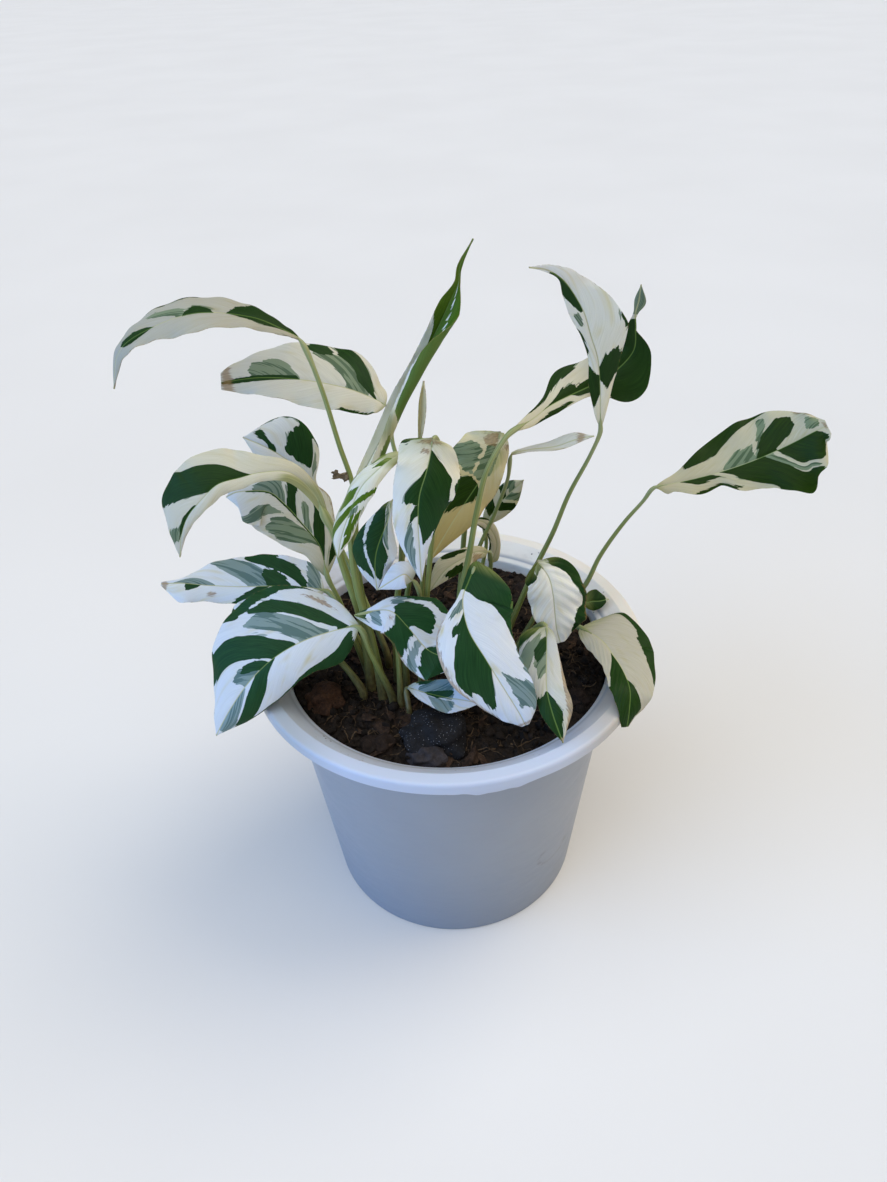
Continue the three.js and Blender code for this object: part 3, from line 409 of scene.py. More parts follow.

# The leaves' markings, as patches of dark green, grey-green, fresh yellow-green and brown. A patch
# is a list of (v, from, to), all in hundredths: across the blade at v, from -100 at the left edge
# by 0 at the midrib to 100 at the right edge, it covers the blade's length between the two others.
# tone: 0 for a cream ground, 1 for a cool white one, -1 for straw; two numbers are for the base
# and the tip. Cream and cool white are partly the tissue's own and partly painted light: warm
# cream where a leaf is lit, bluish white where it is shaded. young: how far the greens are the
# bright ones of a new leaf.
# pale: how bright the ground is painted, for 1 as bright as clean white tissue; below the usual it
# is painted shade, above it painted light, by how the light falls on that leaf.
# pleat: height of the folds along the side veins, where they are deeper than usual.
MARKS = {
    "far_left": {
        "tone": (0.15, 0.4), "pale": 0.55,
        "dark": [
            [(-50, 25, 28), (-25, 20, 36), (0, 2, 41), (50, 2, 38), (100, 2, 33)],
            [(-5, 44, 55), (15, 46, 54), (35, 49, 51)],
            [(-50, 74, 78), (-20, 68, 81), (0, 65, 81), (15, 68, 82), (30, 74, 80)],
            [(93, 52, 62), (100, 50, 80)],
            [(-100, 4, 20), (-93, 6, 16)],
        ],
        "grey": [[(10, 53, 57), (40, 56, 64), (70, 64, 68)]],
    },
    "left_upper": {
        "tone": (0.2, 0.5), "pale": 0.76,
        "dark": [
            [(2, 17, 20), (25, 22, 33), (50, 25, 38), (75, 30, 46), (100, 42, 50)],
            [(72, 48, 56), (85, 50, 62), (100, 52, 60)],
            [(-35, 92, 100), (0, 62, 100), (8, 64, 98)],
            [(-100, 10, 42), (-90, 14, 38)],
        ],
        "grey": [[(10, 25, 40), (50, 35, 50), (75, 42, 60)], [(5, 62, 85), (30, 66, 86), (55, 72, 84)]],
        "brown": [[(-100, 93, 100), (100, 95, 100)]],
    },
    "left_arch": {
        "tone": (0.05, 0.4), "pale": 0.76,
        "dark": [
            [(-3, 50, 52), (0, 38, 62), (25, 45, 71), (50, 52, 77), (75, 60, 80), (95, 69, 82)],
            [(-5, 70, 80), (5, 72, 89), (15, 84, 94)],
        ],
        "grey": [[(5, 76, 90), (20, 86, 93), (45, 87, 93), (95, 90, 95)]],
        "fresh": [[(-100, 5, 28), (-30, 2, 26), (0, 0, 18), (100, 0, 14)]],
    },
    "left_middle": {
        "tone": (0.1, 0.9), "pale": (0.7, 0.9),
        "dark": [
            [(2, 7, 23), (25, 17, 28), (50, 23, 35), (70, 30, 43), (80, 36, 47)],
            [(3, 38, 47), (25, 45, 51), (50, 48, 56), (70, 51, 59)],
            [(-5, 4, 79), (0, 4, 79)],
            [(40, 5, 12), (70, 8, 17), (100, 11, 17)],
        ],
        "grey": [
            [(-88, 33, 44), (-70, 28, 47), (-50, 24, 48), (-25, 21, 42), (-5, 17, 27)],
            [(-100, 80, 90), (-75, 67, 80), (-60, 53, 77), (-40, 50, 70), (-20, 44, 48)],
            [(3, 48, 75), (20, 53, 75), (40, 59, 74), (60, 61, 69)],
            [(5, 25, 32), (25, 32, 40), (42, 37, 43)],
        ],
        "brown": [[(94, 20, 42), (100, 17, 50)]],
    },
    "left_back": {
        "tone": (0.3, 0.9),
        "dark": [
            [(15, 54, 66), (30, 40, 68), (50, 41, 69), (75, 47, 69), (93, 56, 66)],
            [(5, 71, 78), (25, 80, 87), (50, 86, 92), (80, 89, 93)],
            [(-100, 20, 55), (-85, 26, 50)],
            [(97, 50, 85), (100, 40, 90)],
        ],
        "grey": [[(45, 30, 40), (80, 36, 46)], [(-80, 60, 70), (-10, 52, 60)]],
    },
    "left_low": {
        "tone": 0.9, "pale": 0.9,
        "dark": [
            [(-100, 49, 54), (-50, 42, 48), (-2, 34, 41)],
            [(5, 15, 19), (25, 16, 24), (50, 20, 32), (75, 23, 46), (90, 33, 50)],
            [(5, 24, 36), (30, 27, 39), (50, 33, 39)],
            [(-35, 77, 79), (-20, 72, 80), (-3, 70, 80)],
        ],
        "grey": [
            [(5, 35, 46), (50, 39, 58), (75, 46, 63), (95, 56, 66)],
            [(5, 62, 90), (30, 70, 88), (50, 76, 84)],
            [(10, 2, 15), (90, 6, 18)],
        ],
        "brown": [
            [(-70, 62, 66), (-50, 60, 66), (-35, 62, 64)],
            [(-100, 95, 100), (0, 93, 100), (100, 95, 100)],
        ],
    },
    "front_left": {
        "tone": (0.8, 1), "pale": 0.84,
        "dark": [
            [(-100, 5, 85), (-95, 5, 50), (-75, 6, 29), (-50, 6, 17), (-25, 5, 8)],
            [(-95, 80, 90), (-75, 71, 87), (-50, 63, 80), (-25, 57, 72), (-3, 50, 63)],
            [(8, 7, 15), (25, 12, 24), (50, 20, 36), (70, 33, 47), (82, 42, 52)],
            [(3, 38, 52), (25, 46, 60), (50, 53, 68), (75, 62, 76), (95, 70, 80)],
            [(86, 40, 56), (100, 20, 60)],
            [(3, 54, 60), (15, 57, 66), (25, 63, 68)],
        ],
        "grey": [
            [(-95, 92, 97), (-75, 88, 96), (-50, 83, 96), (-5, 70, 96)],
            [(5, 20, 36), (25, 27, 42), (50, 37, 50), (70, 46, 55)],
            [(10, 60, 70), (30, 66, 73)],
        ],
        "brown": [[(60, 12, 15), (85, 18, 30)]],
    },
    "front_centre": {
        "tone": (0.7, 1), "pale": 0.92,
        "dark": [
            [(-100, 0, 58), (-75, 0, 43), (-60, 0, 33), (-10, 0, 22), (20, 0, 21), (100, 0, 22)],
            [(2, 34, 39), (25, 39, 42), (50, 40, 43)],
            [(3, 37, 62), (25, 43, 69), (50, 46, 75), (62, 49, 77), (70, 51, 65), (88, 60, 68)],
            [(60, 69, 77), (73, 70, 77)],
        ],
        "grey": [
            [(10, 27, 33), (50, 29, 36), (80, 33, 36)],
            [(-100, 75, 91), (-50, 69, 84), (-20, 63, 84)],
            [(-100, 60, 72), (-93, 62, 69)],
        ],
        "brown": [[(-100, 96, 100), (100, 96, 100)], [(90, 34, 81), (100, 34, 91)]],
    },
    "centre_hanging": {
        "tone": (0, 1), "pale": 0.92,
        "dark": [
            [(-90, 52, 70), (-75, 32, 77), (-50, 26, 80), (-30, 20, 83), (-5, 12, 68)],
            [(-100, 50, 80), (-90, 53, 77)],
            [(-100, 30, 42), (-92, 33, 38)],
            [(5, 30, 56), (15, 38, 56), (30, 43, 55), (52, 50, 55)],
            [(12, 56, 63), (32, 62, 69)],
            [(80, 0, 10), (100, 0, 12)],
        ],
        "grey": [[(25, 63, 86), (50, 72, 93), (80, 84, 96)]],
        "brown": [[(-80, 0, 5), (60, 0, 7)], [(0, 10, 17), (30, 10, 18)]],
    },
    "striped": {
        "tone": (0.5, 1),
        "dark": [
            [(-60, 60, 90), (-40, 50, 90), (-20, 45, 88), (0, 35, 85), (25, 20, 68), (50, 5, 50),
             (75, 0, 35), (100, 0, 20)],
            [(15, 84, 90), (40, 66, 85), (60, 52, 82), (80, 42, 80), (100, 35, 78)],
        ],
        "grey": [[(-50, 40, 52), (-25, 30, 46), (0, 20, 36), (15, 10, 24), (40, 2, 10)]],
    },
    "yellowed": {
        "tone": (-0.15, -0.95), "pale": (0.9, 0.76), "pleat": 0.4,
        "dark": [[(-25, 58, 66), (0, 54, 70), (30, 53, 75), (60, 56, 80)], [(-20, 24, 32), (-5, 24, 34)]],
        "grey": [
            [(32, 26, 50), (50, 22, 52), (75, 22, 50), (100, 30, 50)],
            [(-30, 20, 44), (5, 16, 52), (25, 20, 50)],
        ],
        "brown": [
            [(5, 2, 20), (30, 0, 22), (48, 0, 14)],
            [(-100, 12, 20), (-50, 14, 20)],
            [(-100, 30, 90), (-93, 40, 80)],
        ],
        "fresh": [[(-65, 22, 32), (-40, 20, 40), (-20, 28, 42)]],
    },
    "tall_white": {
        "tone": (0.1, 0.75), "pale": 1,
        "dark": [
            [(5, 24, 30), (25, 22, 34), (50, 20, 35), (75, 22, 37), (90, 26, 34)],
            [(-100, 12, 31), (-50, 14, 28), (-3, 18, 26)],
            [(-100, 36, 50), (-70, 38, 46)],
            [(-90, 66, 86), (-50, 60, 86), (-20, 56, 86), (-2, 56, 84)],
            [(93, 44, 50), (100, 43, 51)],
        ],
        "grey": [[(-70, 50, 56), (-30, 50, 57)]],
    },
    "tall_dark": {
        "tone": (0, 0.5), "pale": 0.8,
        "dark": [
            [(-100, 10, 38), (-80, 12, 36), (-65, 18, 32)],
            [(-35, 27, 32), (-20, 22, 33), (-5, 16, 33)],
            [(-25, 35, 50), (2, 30, 50), (60, 33, 50)],
            [(55, 18, 28), (80, 12, 30), (100, 10, 24)],
            [(-100, 50, 77), (-20, 46, 77), (30, 44, 77), (100, 44, 77)],
        ],
        "grey": [[(-100, 80, 100), (100, 80, 100)]],
    },
    "far_right": {
        "tone": (-0.35, 0.1), "pale": 0.68,
        "dark": [
            [(-100, 20, 63), (-80, 20, 46), (-60, 22, 36), (-50, 28, 34)],
            [(-78, 66, 74), (-50, 57, 75), (-25, 52, 70), (-5, 50, 60)],
            [(5, 17, 30), (40, 24, 34)],
            [(80, 24, 40), (100, 22, 38)],
            [(5, 33, 54), (25, 37, 58), (50, 40, 65), (75, 46, 73), (93, 54, 80)],
            [(3, 60, 88), (25, 64, 93), (50, 70, 96), (65, 76, 97), (80, 86, 97)],
        ],
        "grey": [
            [(-35, 42, 50), (-5, 35, 50)],
            [(-85, 57, 61), (-10, 50, 55)],
            [(5, 53, 58), (30, 58, 63), (50, 65, 68), (85, 77, 80)],
            [(-80, 84, 94), (-20, 80, 92)],
        ],
        "brown": [[(-100, 76, 100), (-90, 77, 84)], [(-60, 95, 100), (30, 97, 100)]],
    },
    "right_white": {
        "tone": 0.5, "pale": 1.15, "pleat": 0.8,
        "dark": [
            [(-100, 2, 95), (-93, 2, 90), (-85, 2, 45), (-75, 3, 36), (-60, 5, 22), (-45, 8, 14)],
            [(-100, 60, 93), (-80, 58, 92), (-70, 64, 90), (-60, 70, 85)],
            [(45, 0, 12), (70, 0, 16), (100, 0, 20)],
        ],
        "grey": [[(10, 0, 7), (45, 0, 12)]],
        "brown": [[(-100, 30, 90), (-95, 35, 85)], [(95, 60, 80), (100, 60, 80)]],
    },
    "front_right": {
        "tone": (0.6, 0.3), "pale": 0.75, "pleat": 0.5,
        "dark": [
            [(-50, 75, 97), (-25, 62, 96), (-5, 54, 95), (10, 53, 100), (30, 57, 100), (100, 58, 100)],
            [(5, 8, 20), (25, 12, 28), (45, 20, 30)],
            [(50, 0, 6), (80, 0, 13), (100, 2, 18)],
        ],
        "grey": [
            [(25, 5, 16), (50, 8, 26), (75, 16, 34), (100, 26, 38)],
            [(10, 20, 38), (30, 28, 42), (50, 30, 42)],
        ],
        "brown": [[(-100, 10, 100), (-88, 30, 90), (-70, 70, 85)], [(-100, 95, 100), (100, 95, 100)]],
    },
    "right_rim": {
        "tone": 0.25, "pale": 0.6, "pleat": 0.4,
        "dark": [
            [(-100, 0, 62), (-93, 0, 60), (-85, 20, 53), (-72, 24, 40)],
            [(-75, 82, 95), (-50, 75, 100), (-25, 66, 100), (0, 58, 100), (3, 30, 100), (25, 36, 100),
             (50, 43, 100), (75, 52, 100), (93, 64, 100)],
        ],
        "brown": [[(-100, 75, 100), (-90, 80, 98)]],
    },
    "middle_low": {
        "tone": 1,
        "dark": [
            [(-100, 34, 60), (-84, 37, 56)],
            [(-68, 38, 55), (-50, 35, 60), (-30, 34, 62), (-12, 36, 51)],
            [(-25, 74, 80), (-10, 68, 82), (0, 66, 82)],
            [(6, 38, 56), (30, 42, 56), (60, 43, 59), (100, 42, 61)],
            [(5, 66, 85), (25, 66, 88), (50, 69, 92), (75, 70, 94), (100, 76, 92)],
            [(-100, 0, 14), (-30, 0, 12)],
            [(10, 0, 12), (60, 0, 10)],
        ],
        "grey": [
            [(10, 14, 24), (70, 18, 26)],
            [(10, 59, 63), (50, 61, 66), (90, 64, 70)],
            [(-90, 32, 38), (-50, 32, 36)],
        ],
        "brown": [[(15, 33, 38), (35, 33, 39)], [(94, 30, 70), (100, 30, 80)]],
    },
    "curled": {
        "tone": (0, 0.5), "pale": 1, "young": 0.9,
        "dark": [
            [(-95, 40, 46), (-70, 46, 56), (-40, 52, 60), (-10, 60, 66), (30, 68, 78), (70, 78, 87),
             (95, 84, 90)],
            [(-45, 66, 80), (-20, 70, 84)],
            [(-85, 60, 86), (-60, 66, 92), (-35, 84, 94)],
            [(15, 50, 60), (50, 56, 68), (80, 62, 74)],
            [(70, 18, 30), (100, 14, 34)],
            [(10, 14, 26), (40, 18, 34)],
        ],
        "grey": [[(-50, 60, 66), (-10, 66, 72)]],
        "fresh": [
            [(-100, 0, 20), (-40, 4, 24), (20, 4, 22), (100, 0, 30)],
            [(60, 60, 80), (100, 50, 80)],
        ],
    },
    "rolled": {
        "tone": (0.1, 0.8), "pale": 1.05, "young": 0.8,
        "dark": [
            [(-100, 62, 100), (-40, 56, 100), (-10, 48, 100), (10, 34, 100), (18, 32, 100)],
            [(28, 30, 100), (45, 26, 100), (90, 30, 100), (95, 50, 90)],
            [(15, 84, 100), (32, 84, 100)],
            [(50, 12, 20), (80, 14, 24)],
        ],
        "fresh": [[(40, 20, 26), (90, 20, 30)]],
    },
    "white_mid": {"tone": 1},
    "cream_back": {
        "tone": 0,
        "dark": [[(-90, 53, 78), (-30, 50, 80)], [(55, 36, 66), (80, 36, 70), (100, 50, 70)]],
        "brown": [[(-100, 10, 40), (-20, 10, 30)]],
    },
    "under_left": {
        "tone": 1,
        "dark": [
            [(-100, 0, 45), (-25, 5, 40)],
            [(10, 0, 50), (70, 5, 60)],
            [(-100, 85, 100), (100, 75, 100)],
        ],
    },
    "olive": {
        "tone": -0.2, "pale": 0.8,
        "dark": [
            [(-100, 55, 68), (-50, 50, 62), (0, 46, 54)],
            [(10, 28, 44), (50, 32, 48), (95, 40, 56)],
            [(-100, 20, 40), (0, 12, 30)],
        ],
        "grey": [[(-90, 72, 86), (-10, 62, 78)], [(10, 50, 66), (90, 62, 78)]],
        "brown": [[(-100, 93, 100), (100, 93, 100)]],
    },
    "curl_back": {"tone": 0.1, "dark": [[(-100, 0, 90), (-78, 20, 90)], [(50, 70, 90), (100, 60, 80)]]},
    "small_spear": {"tone": 0, "fresh": [[(-100, 0, 95), (10, 0, 90)]]},
    "dried": {"tone": 0.4, "brown": [[(-100, 78, 90), (100, 74, 86)]]},
    "right_small": {"tone": 0.2, "dark": [[(-100, 0, 90), (-6, 0, 90)], [(6, 0, 90), (100, 0, 90)]]},
    "soil_curled": {
        "tone": 1, "pleat": 0.9,
        "dark": [
            [(-40, 50, 64), (-20, 30, 60), (0, 24, 50), (20, 30, 40)],
            [(-100, 8, 34), (-70, 14, 26)],
        ],
        "grey": [
            [(-95, 30, 60), (-50, 15, 64), (10, 16, 60)],
            [(20, 30, 66), (70, 36, 66), (100, 44, 62)],
        ],
    },
}

PATCH_KINDS = ("dark", "grey", "brown", "fresh")
FAR = -40.0  # depth of a marking in mm where a leaf has none of its kind
NEAR_EDGE = 0.9  # a patch that comes this close to an edge runs over it
NEAR_RIB = 0.12  # and one that comes this close to the midrib ends at it
USUAL_PALE = 0.85
# Noise on the blades, in the veins' own directions: how fine along and across, shifts, and detail.
LEAF_NOISE = {
    "lobes": (((0.42, 0.13, 1), (0, 0, 0)), 1.5),
    "other_lobes": (((0.36, 0.12, 1), (31, 7, 0)), 1.5),
    "teeth": (((1.5, 0.35, 1), (5, 3, 0)), 1),
    "streak": (((0.38, 0.06, 1), (8, 1, 0)), 1),
    "fine_streak": (((2.4, 0.14, 1), (5, 3, 0)), 2),
    "wander": (((0.13, 0.16, 1), (3, 0, 0)), 1),
    "blot": (((0.7, 0.7, 1), (9, 0, 0)), 3),
}
CALM_WIDTH = 3.0  # beside the midrib, where markings keep a smooth edge
RIB_WIDTH = 0.4  # of the pale midrib, to either side, on a blade's upper side
RIB_WIDTH_UNDER = 0.75
FINE_RIBS = 1.35  # from one of the tissue's fine ribs to the next
LEAF_SLOTS = {
    "yellowed": "leaf_yellowed",
    "cream_back": "leaf_yellowed",
    "curl_back": "leaf_yellowed",
    "dried": "leaf_dry",
}

# ---------------- colours

# Each pair is the two ends between which a surface's colour varies.
COLOURS = {
    # The cream and white pairs, and the warm and cool greys and darks, are partly the tissue's own and
    # partly painted light: warm where a leaf is lit, cool where it is shaded.
    "cream": ((0.66, 0.59, 0.36), (0.82, 0.75, 0.55)),
    "white": ((0.66, 0.72, 0.80), (0.76, 0.81, 0.88)),
    "warm_grey": ((0.085, 0.125, 0.060), (0.19, 0.235, 0.13)),
    "cool_grey": ((0.105, 0.175, 0.175), (0.21, 0.29, 0.30)),
    "warm_dark": ((0.007, 0.020, 0.001), (0.021, 0.052, 0.002)),
    "cool_dark": ((0.008, 0.038, 0.012), (0.020, 0.078, 0.024)),
    "young_green": ((0.055, 0.115, 0.004), (0.120, 0.205, 0.014)),
    "fresh_green": ((0.17, 0.20, 0.035), (0.36, 0.37, 0.12)),
    "dry_leaf": ((0.36, 0.23, 0.10), (0.13, 0.065, 0.025)),
    "stalk": ((0.13, 0.17, 0.035), (0.26, 0.30, 0.085)),
    "stalk_top": ((0.24, 0.28, 0.10), (0.36, 0.38, 0.19)),
    # the foot's brown is partly the sheath's own and partly painted shade
    "stalk_foot_and_shade": ((0.06, 0.045, 0.018), (0.15, 0.135, 0.05)),
    # the wall's pair is the white plastic painted in bluish shade
    "wall": ((0.265, 0.295, 0.345), (0.295, 0.325, 0.375)),
    # the lip's pair is the same plastic painted in light, cool bluish at the front and warm behind
    "lip": ((0.51, 0.57, 0.70), (0.80, 0.76, 0.69)),
    # painted shade on the lip's two front sides
    "shaded_lip_sides": ((0.38, 0.42, 0.47), (0.46, 0.435, 0.40)),
    "floor": ((0.74, 0.72, 0.70), (0.77, 0.75, 0.73)),
    "potting_soil": ((0.002, 0.0014, 0.0012), (0.034, 0.024, 0.018)),
    "grey_clod": ((0.007, 0.007, 0.008), (0.022, 0.022, 0.026)),
    "purple_clod": ((0.022, 0.020, 0.023), (0.056, 0.050, 0.056)),
    "red_clod": ((0.016, 0.008, 0.005), (0.105, 0.052, 0.030)),
    "brown_clod": ((0.008, 0.005, 0.004), (0.035, 0.022, 0.016)),
    "dry_scrap": ((0.10, 0.07, 0.04), (0.34, 0.27, 0.19)),
    "bark": ((0.007, 0.004, 0.003), (0.075, 0.044, 0.028)),
    "fibre": ((0.02, 0.012, 0.007), (0.15, 0.10, 0.06)),
}
AGED_CREAM = (0.62, 0.55, 0.28)
STRAW = (0.56, 0.44, 0.16)
UNDERSIDE_GREEN = (0.050, 0.120, 0.010)
UNDERSIDE_BLOOM = (0.40, 0.42, 0.34)
RIB_ON_PALE = (0.46, 0.45, 0.24)
RIB_ON_DARK = (0.12, 0.20, 0.045)
STALK_SPOT = (0.14, 0.08, 0.03)
SHADED_FOOT = (0.215, 0.255, 0.325)
WORN = (0.34, 0.36, 0.38)
SCUFF = (0.19, 0.20, 0.215)
# soil mark on the rim's inside, partly painted warm shade
SOIL_STAIN_AND_WARM_SHADE = (0.36, 0.31, 0.25)
SOIL_SPECK = (0.035, 0.025, 0.02)
PALE_GRAIN = (0.34, 0.34, 0.36)

# ---------------- meshes


class Shape:
    """The points, faces and per-point values of one piece, gathered part by part.

    marks: depths of the dark, grey and brown patches. place: distances from the rim and the base,
    and the fresh patches' depth. vein: place along the veins, distance from the midrib, and a
    number of the leaf's own; on a stalk, the way along it in mm, the place round it, and the
    share of its length. ground: tone, pale and young.
    """

    VALUES = ("marks", "place", "vein", "ground")

    def __init__(self):
        self.points = []
        self.faces = []
        self.material_of = []
        self.values = {name: [] for name in self.VALUES}
        self.count = 0

    def add(self, points, faces, material=0, **values):
        """Adds a part; its faces count its own points from 0, and values it lacks are 0."""
        points = np.asarray(points, float).reshape(-1, 3)
        for face in faces:
            self.faces.append([corner + self.count for corner in face])
        self.material_of.extend([material] * len(faces))
        self.points.append(points)
        for name in self.VALUES:
            given = values.get(name, np.zeros(points.shape))
            self.values[name].append(given.reshape(-1, 3))
        self.count += len(points)

    def build(self, name, materials, sharp=50):
        """Makes the object, smooth but for edges sharper than so many degrees."""
        mesh = bpy.data.meshes.new(name)
        mesh.from_pydata((np.vstack(self.points) * MM).tolist(), [], self.faces)
        mesh.polygons.foreach_set("material_index", self.material_of)
        mesh.polygons.foreach_set("use_smooth", [True] * len(mesh.polygons))
        for value, parts in self.values.items():
            made = mesh.attributes.new(value, "FLOAT_VECTOR", "POINT")
            made.data.foreach_set("vector", np.vstack(parts).astype(np.float32).ravel())
        for material in materials:
            mesh.materials.append(material)
        mesh.set_sharp_from_angle(angle=math.radians(sharp))
        obj = bpy.data.objects.new(name, mesh)
        bpy.context.scene.collection.objects.link(obj)
        return obj


def dress(obj, slot, *nodes):
    """Makes obj part of the plant: it rides on the one body and stands for those CAD nodes."""
    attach(obj, "root")
    if nodes:
        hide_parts(*nodes)
    return obj


def grid_faces(rows, columns, closed=False):
    """Quads of a grid of points, counted along each row; closed: each row is joined to a ring."""
    steps = columns if closed else columns - 1
    i, j = np.meshgrid(np.arange(rows - 1), np.arange(steps), indexing="ij")
    a = i * columns + j
    b = i * columns + (j + 1) % columns
    return np.stack([a, b, b + columns, a + columns], -1).reshape(-1, 4).tolist()


def capped_rings(rings, first, last):
    """Points and faces of rings that follow one another, closed by a point before and one behind."""
    count, segments = rings.shape[:2]
    points = np.vstack([rings.reshape(-1, 3), first, last])
    faces = grid_faces(count, segments, closed=True)
    start, end = len(points) - 2, len(points) - 1
    behind = (count - 1) * segments
    for k in range(segments):
        after = (k + 1) % segments
        faces.append([start, after, k])
        faces.append([end, behind + k, behind + after])
    return points, faces


def circle(segments):
    """Cosines and sines of evenly spaced angles."""
    angles = np.linspace(0, 2 * np.pi, segments, endpoint=False)
    return np.cos(angles), np.sin(angles)


def unit(vectors):
    """The vectors' directions, at length 1."""
    return vectors / np.maximum(np.linalg.norm(vectors, axis=-1, keepdims=True), 1e-9)


# ---------------- smooth values along a leaf


def through(rows, t):
    """Smooth curve through the rows of a table, at shares t of its length (Catmull-Rom)."""
    rows = np.asarray(rows, float)
    last = len(rows) - 1
    place = np.clip(t, 0, 1) * last
    i = np.minimum(place.astype(int), last - 1)
    f = (place - i)[:, None]
    padded = np.vstack([2 * rows[0] - rows[1], rows, 2 * rows[-1] - rows[-2]])
    a, b, c, d = (padded[i + k] for k in range(4))
    return 0.5 * (2 * b + (c - a) * f + (2 * a - 5 * b + 4 * c - d) * f**2 + (3 * b - a - 3 * c + d) * f**3)


def between(rows, t):
    """Straight blend between the rows of a table."""
    rows = np.asarray(rows, float)
    places = np.linspace(0, 1, len(rows))
    return np.stack([np.interp(t, places, rows[:, k]) for k in range(rows.shape[1])], -1)


def length_of(leaf):
    """Length of a blade along its stations."""
    stations = np.asarray(leaf["stations"], float)[:, :3]
    return float(np.linalg.norm(np.diff(stations, axis=0), axis=1).sum())


def rib_frame(leaf, t):
    """The midrib's points, its right-hand side and its upper side at shares t of the blade."""
    step = 1e-3
    stations = leaf["stations"]
    point = through(stations, t)[:, :3]
    ahead = through(stations, np.minimum(t + step, 1)) - through(stations, np.maximum(t - step, 0))
    ahead = unit(ahead[:, :3])
    up = between(leaf["facing"], t)
    up = unit(up - ahead * np.sum(up * ahead, -1, keepdims=True))
    return point, np.cross(ahead, up), up


def graded(value, t):
    """A number, or a pair for the blade's base and tip, at shares t of the blade."""
    return np.interp(t, [0, 1], np.broadcast_to(value, 2))[:, None]


# ---------------- leaf blade


def half_widths(leaf, t, v):
    """The blade's half-width at each t and v, rounded off at the base, with a rippled outline."""
    rounding = np.sqrt(1 - (1 - np.minimum(1, t / ROUND_BASE)) ** 2)
    both = np.maximum(through(leaf["stations"], t)[:, 3:] * rounding[:, None], TIP_WIDTH)
    height, count = leaf["wave"]
    scallops = np.array(leaf.get("frill", (height, height)))
    # The right edge's scallops run a third of one ahead of the left's.
    turns = np.pi * count * np.stack([t, t + 0.37 / count], -1)
    ripple = 0.5 * np.abs(np.sin(turns)) + 0.15 * np.sin(2.7 * turns + 1)
    both = both + scallops * (ripple - 0.3) * np.minimum(1, both / RIPPLE_WIDTH)
    return np.where(v[None, :] < 0, both[:, :1], both[:, 1:])


def bent(leaf, t, v):
    """Where a half-blade of width 1 is, at shares v of it: sideways and upwards."""
    start = math.radians(leaf["fold"])
    curls = np.radians(between(leaf["curl"], t))
    turn = np.where(v[None, :] < 0, curls[:, :1], curls[:, 1:])
    turn = np.where(np.abs(turn) < 1e-6, 1e-6, turn)
    share = np.abs(v)[None, :]
    out = (np.sin(start + turn * share) - math.sin(start)) / turn
    rise = (math.cos(start) - np.cos(start + turn * share)) / turn
    return out, rise


def vein_place(length, t, v):
    """Where the side vein through each point leaves the midrib, in mm from the blade's base."""
    return length * (t[:, None] - VEIN_SLANT * np.abs(v)[None, :] ** 1.1)


def blade_surface(leaf, t, v, seed, pleat):
    """The middle of the blade, with its waves, the swell between its veins and its rib's groove."""
    point, side, up = rib_frame(leaf, t)
    length = length_of(leaf)
    width = half_widths(leaf, t, v)
    out, rise = bent(leaf, t, v)
    share = np.abs(v)[None, :]
    along = t[:, None]
    phase = np.where(v < 0, 0, 2.1)[None, :]
    limp = np.minimum(1, width / LIMP_WIDTH)
    height, count = leaf["wave"]
    waving = height * share**2 * np.sin(2 * np.pi * count * along + phase) * limp
    height, gap = RUFFLE
    ruffle = height * share**4 * np.sin(2 * np.pi * length * along / gap + 3 * phase + seed) * limp
    swell = np.sin(2 * np.pi * vein_place(length, t, v) / VEIN_GAP + seed + 1.5 * np.sin(5 * along))
    quilt = pleat * swell * share * (1 - 0.8 * share**4) * limp
    groove = -GROOVE * np.exp(-((share * width / RIB_SPREAD) ** 2)) * limp
    lift = width * rise + waving + ruffle + quilt + groove
    sideways = np.sign(v)[None, :] * width * out
    return point[:, None] + side[:, None] * sideways[..., None] + up[:, None] * lift[..., None]


def patch_depth(patch, t, v, length, width):
    """How deep each point lies inside a marking, in mm; below zero outside it."""
    rows = np.asarray(patch, float) / 100
    first = np.interp(v, rows[:, 0], rows[:, 1])[None, :]
    last = np.interp(v, rows[:, 0], rows[:, 2])[None, :]
    along = np.minimum(t[:, None] - first, last - t[:, None]) * length * 0.75
    low, high = rows[0, 0], rows[-1, 0]
    beyond = 9
    low = -beyond if low <= -NEAR_EDGE else 0 if 0 < low <= NEAR_RIB else low
    high = beyond if high >= NEAR_EDGE else 0 if -NEAR_RIB <= high < 0 else high
    across = np.minimum(v - low, high - v)[None, :] * np.maximum(width, 2)
    return np.minimum(along, across)


def marking(marks, kind, t, v, length, width):
    """How deep each point lies inside the nearest patch of a kind."""
    depth = np.full(width.shape, FAR)
    for patch in marks.get(kind, []):
        depth = np.maximum(depth, patch_depth(patch, t, v, length, width))
    return depth


def blade_values(leaf, marks, t, v, seed):
    """What the leaf's material reads at each point: its markings, its place and its veins."""
    length = length_of(leaf)
    width = half_widths(leaf, t, v)
    dark, grey, brown, fresh = (marking(marks, kind, t, v, length, width) for kind in PATCH_KINDS)
    across = np.abs(v)[None, :] * width
    rim = np.minimum(width - across, (1 - t[:, None]) * length)
    flat = 0 * width
    ground = (graded(marks.get(key, usual), t) + flat for key, usual in
              (("tone", 0), ("pale", USUAL_PALE), ("young", 0)))
    signed = np.sign(v)[None, :] * across
    return {
        "marks": np.stack([dark, grey, brown], -1),
        "place": np.stack([rim, t[:, None] * length + flat, fresh], -1),
        "vein": np.stack([vein_place(length, t, v), signed, flat + 50.0 * seed], -1),
        "ground": np.stack(list(ground), -1),
    }


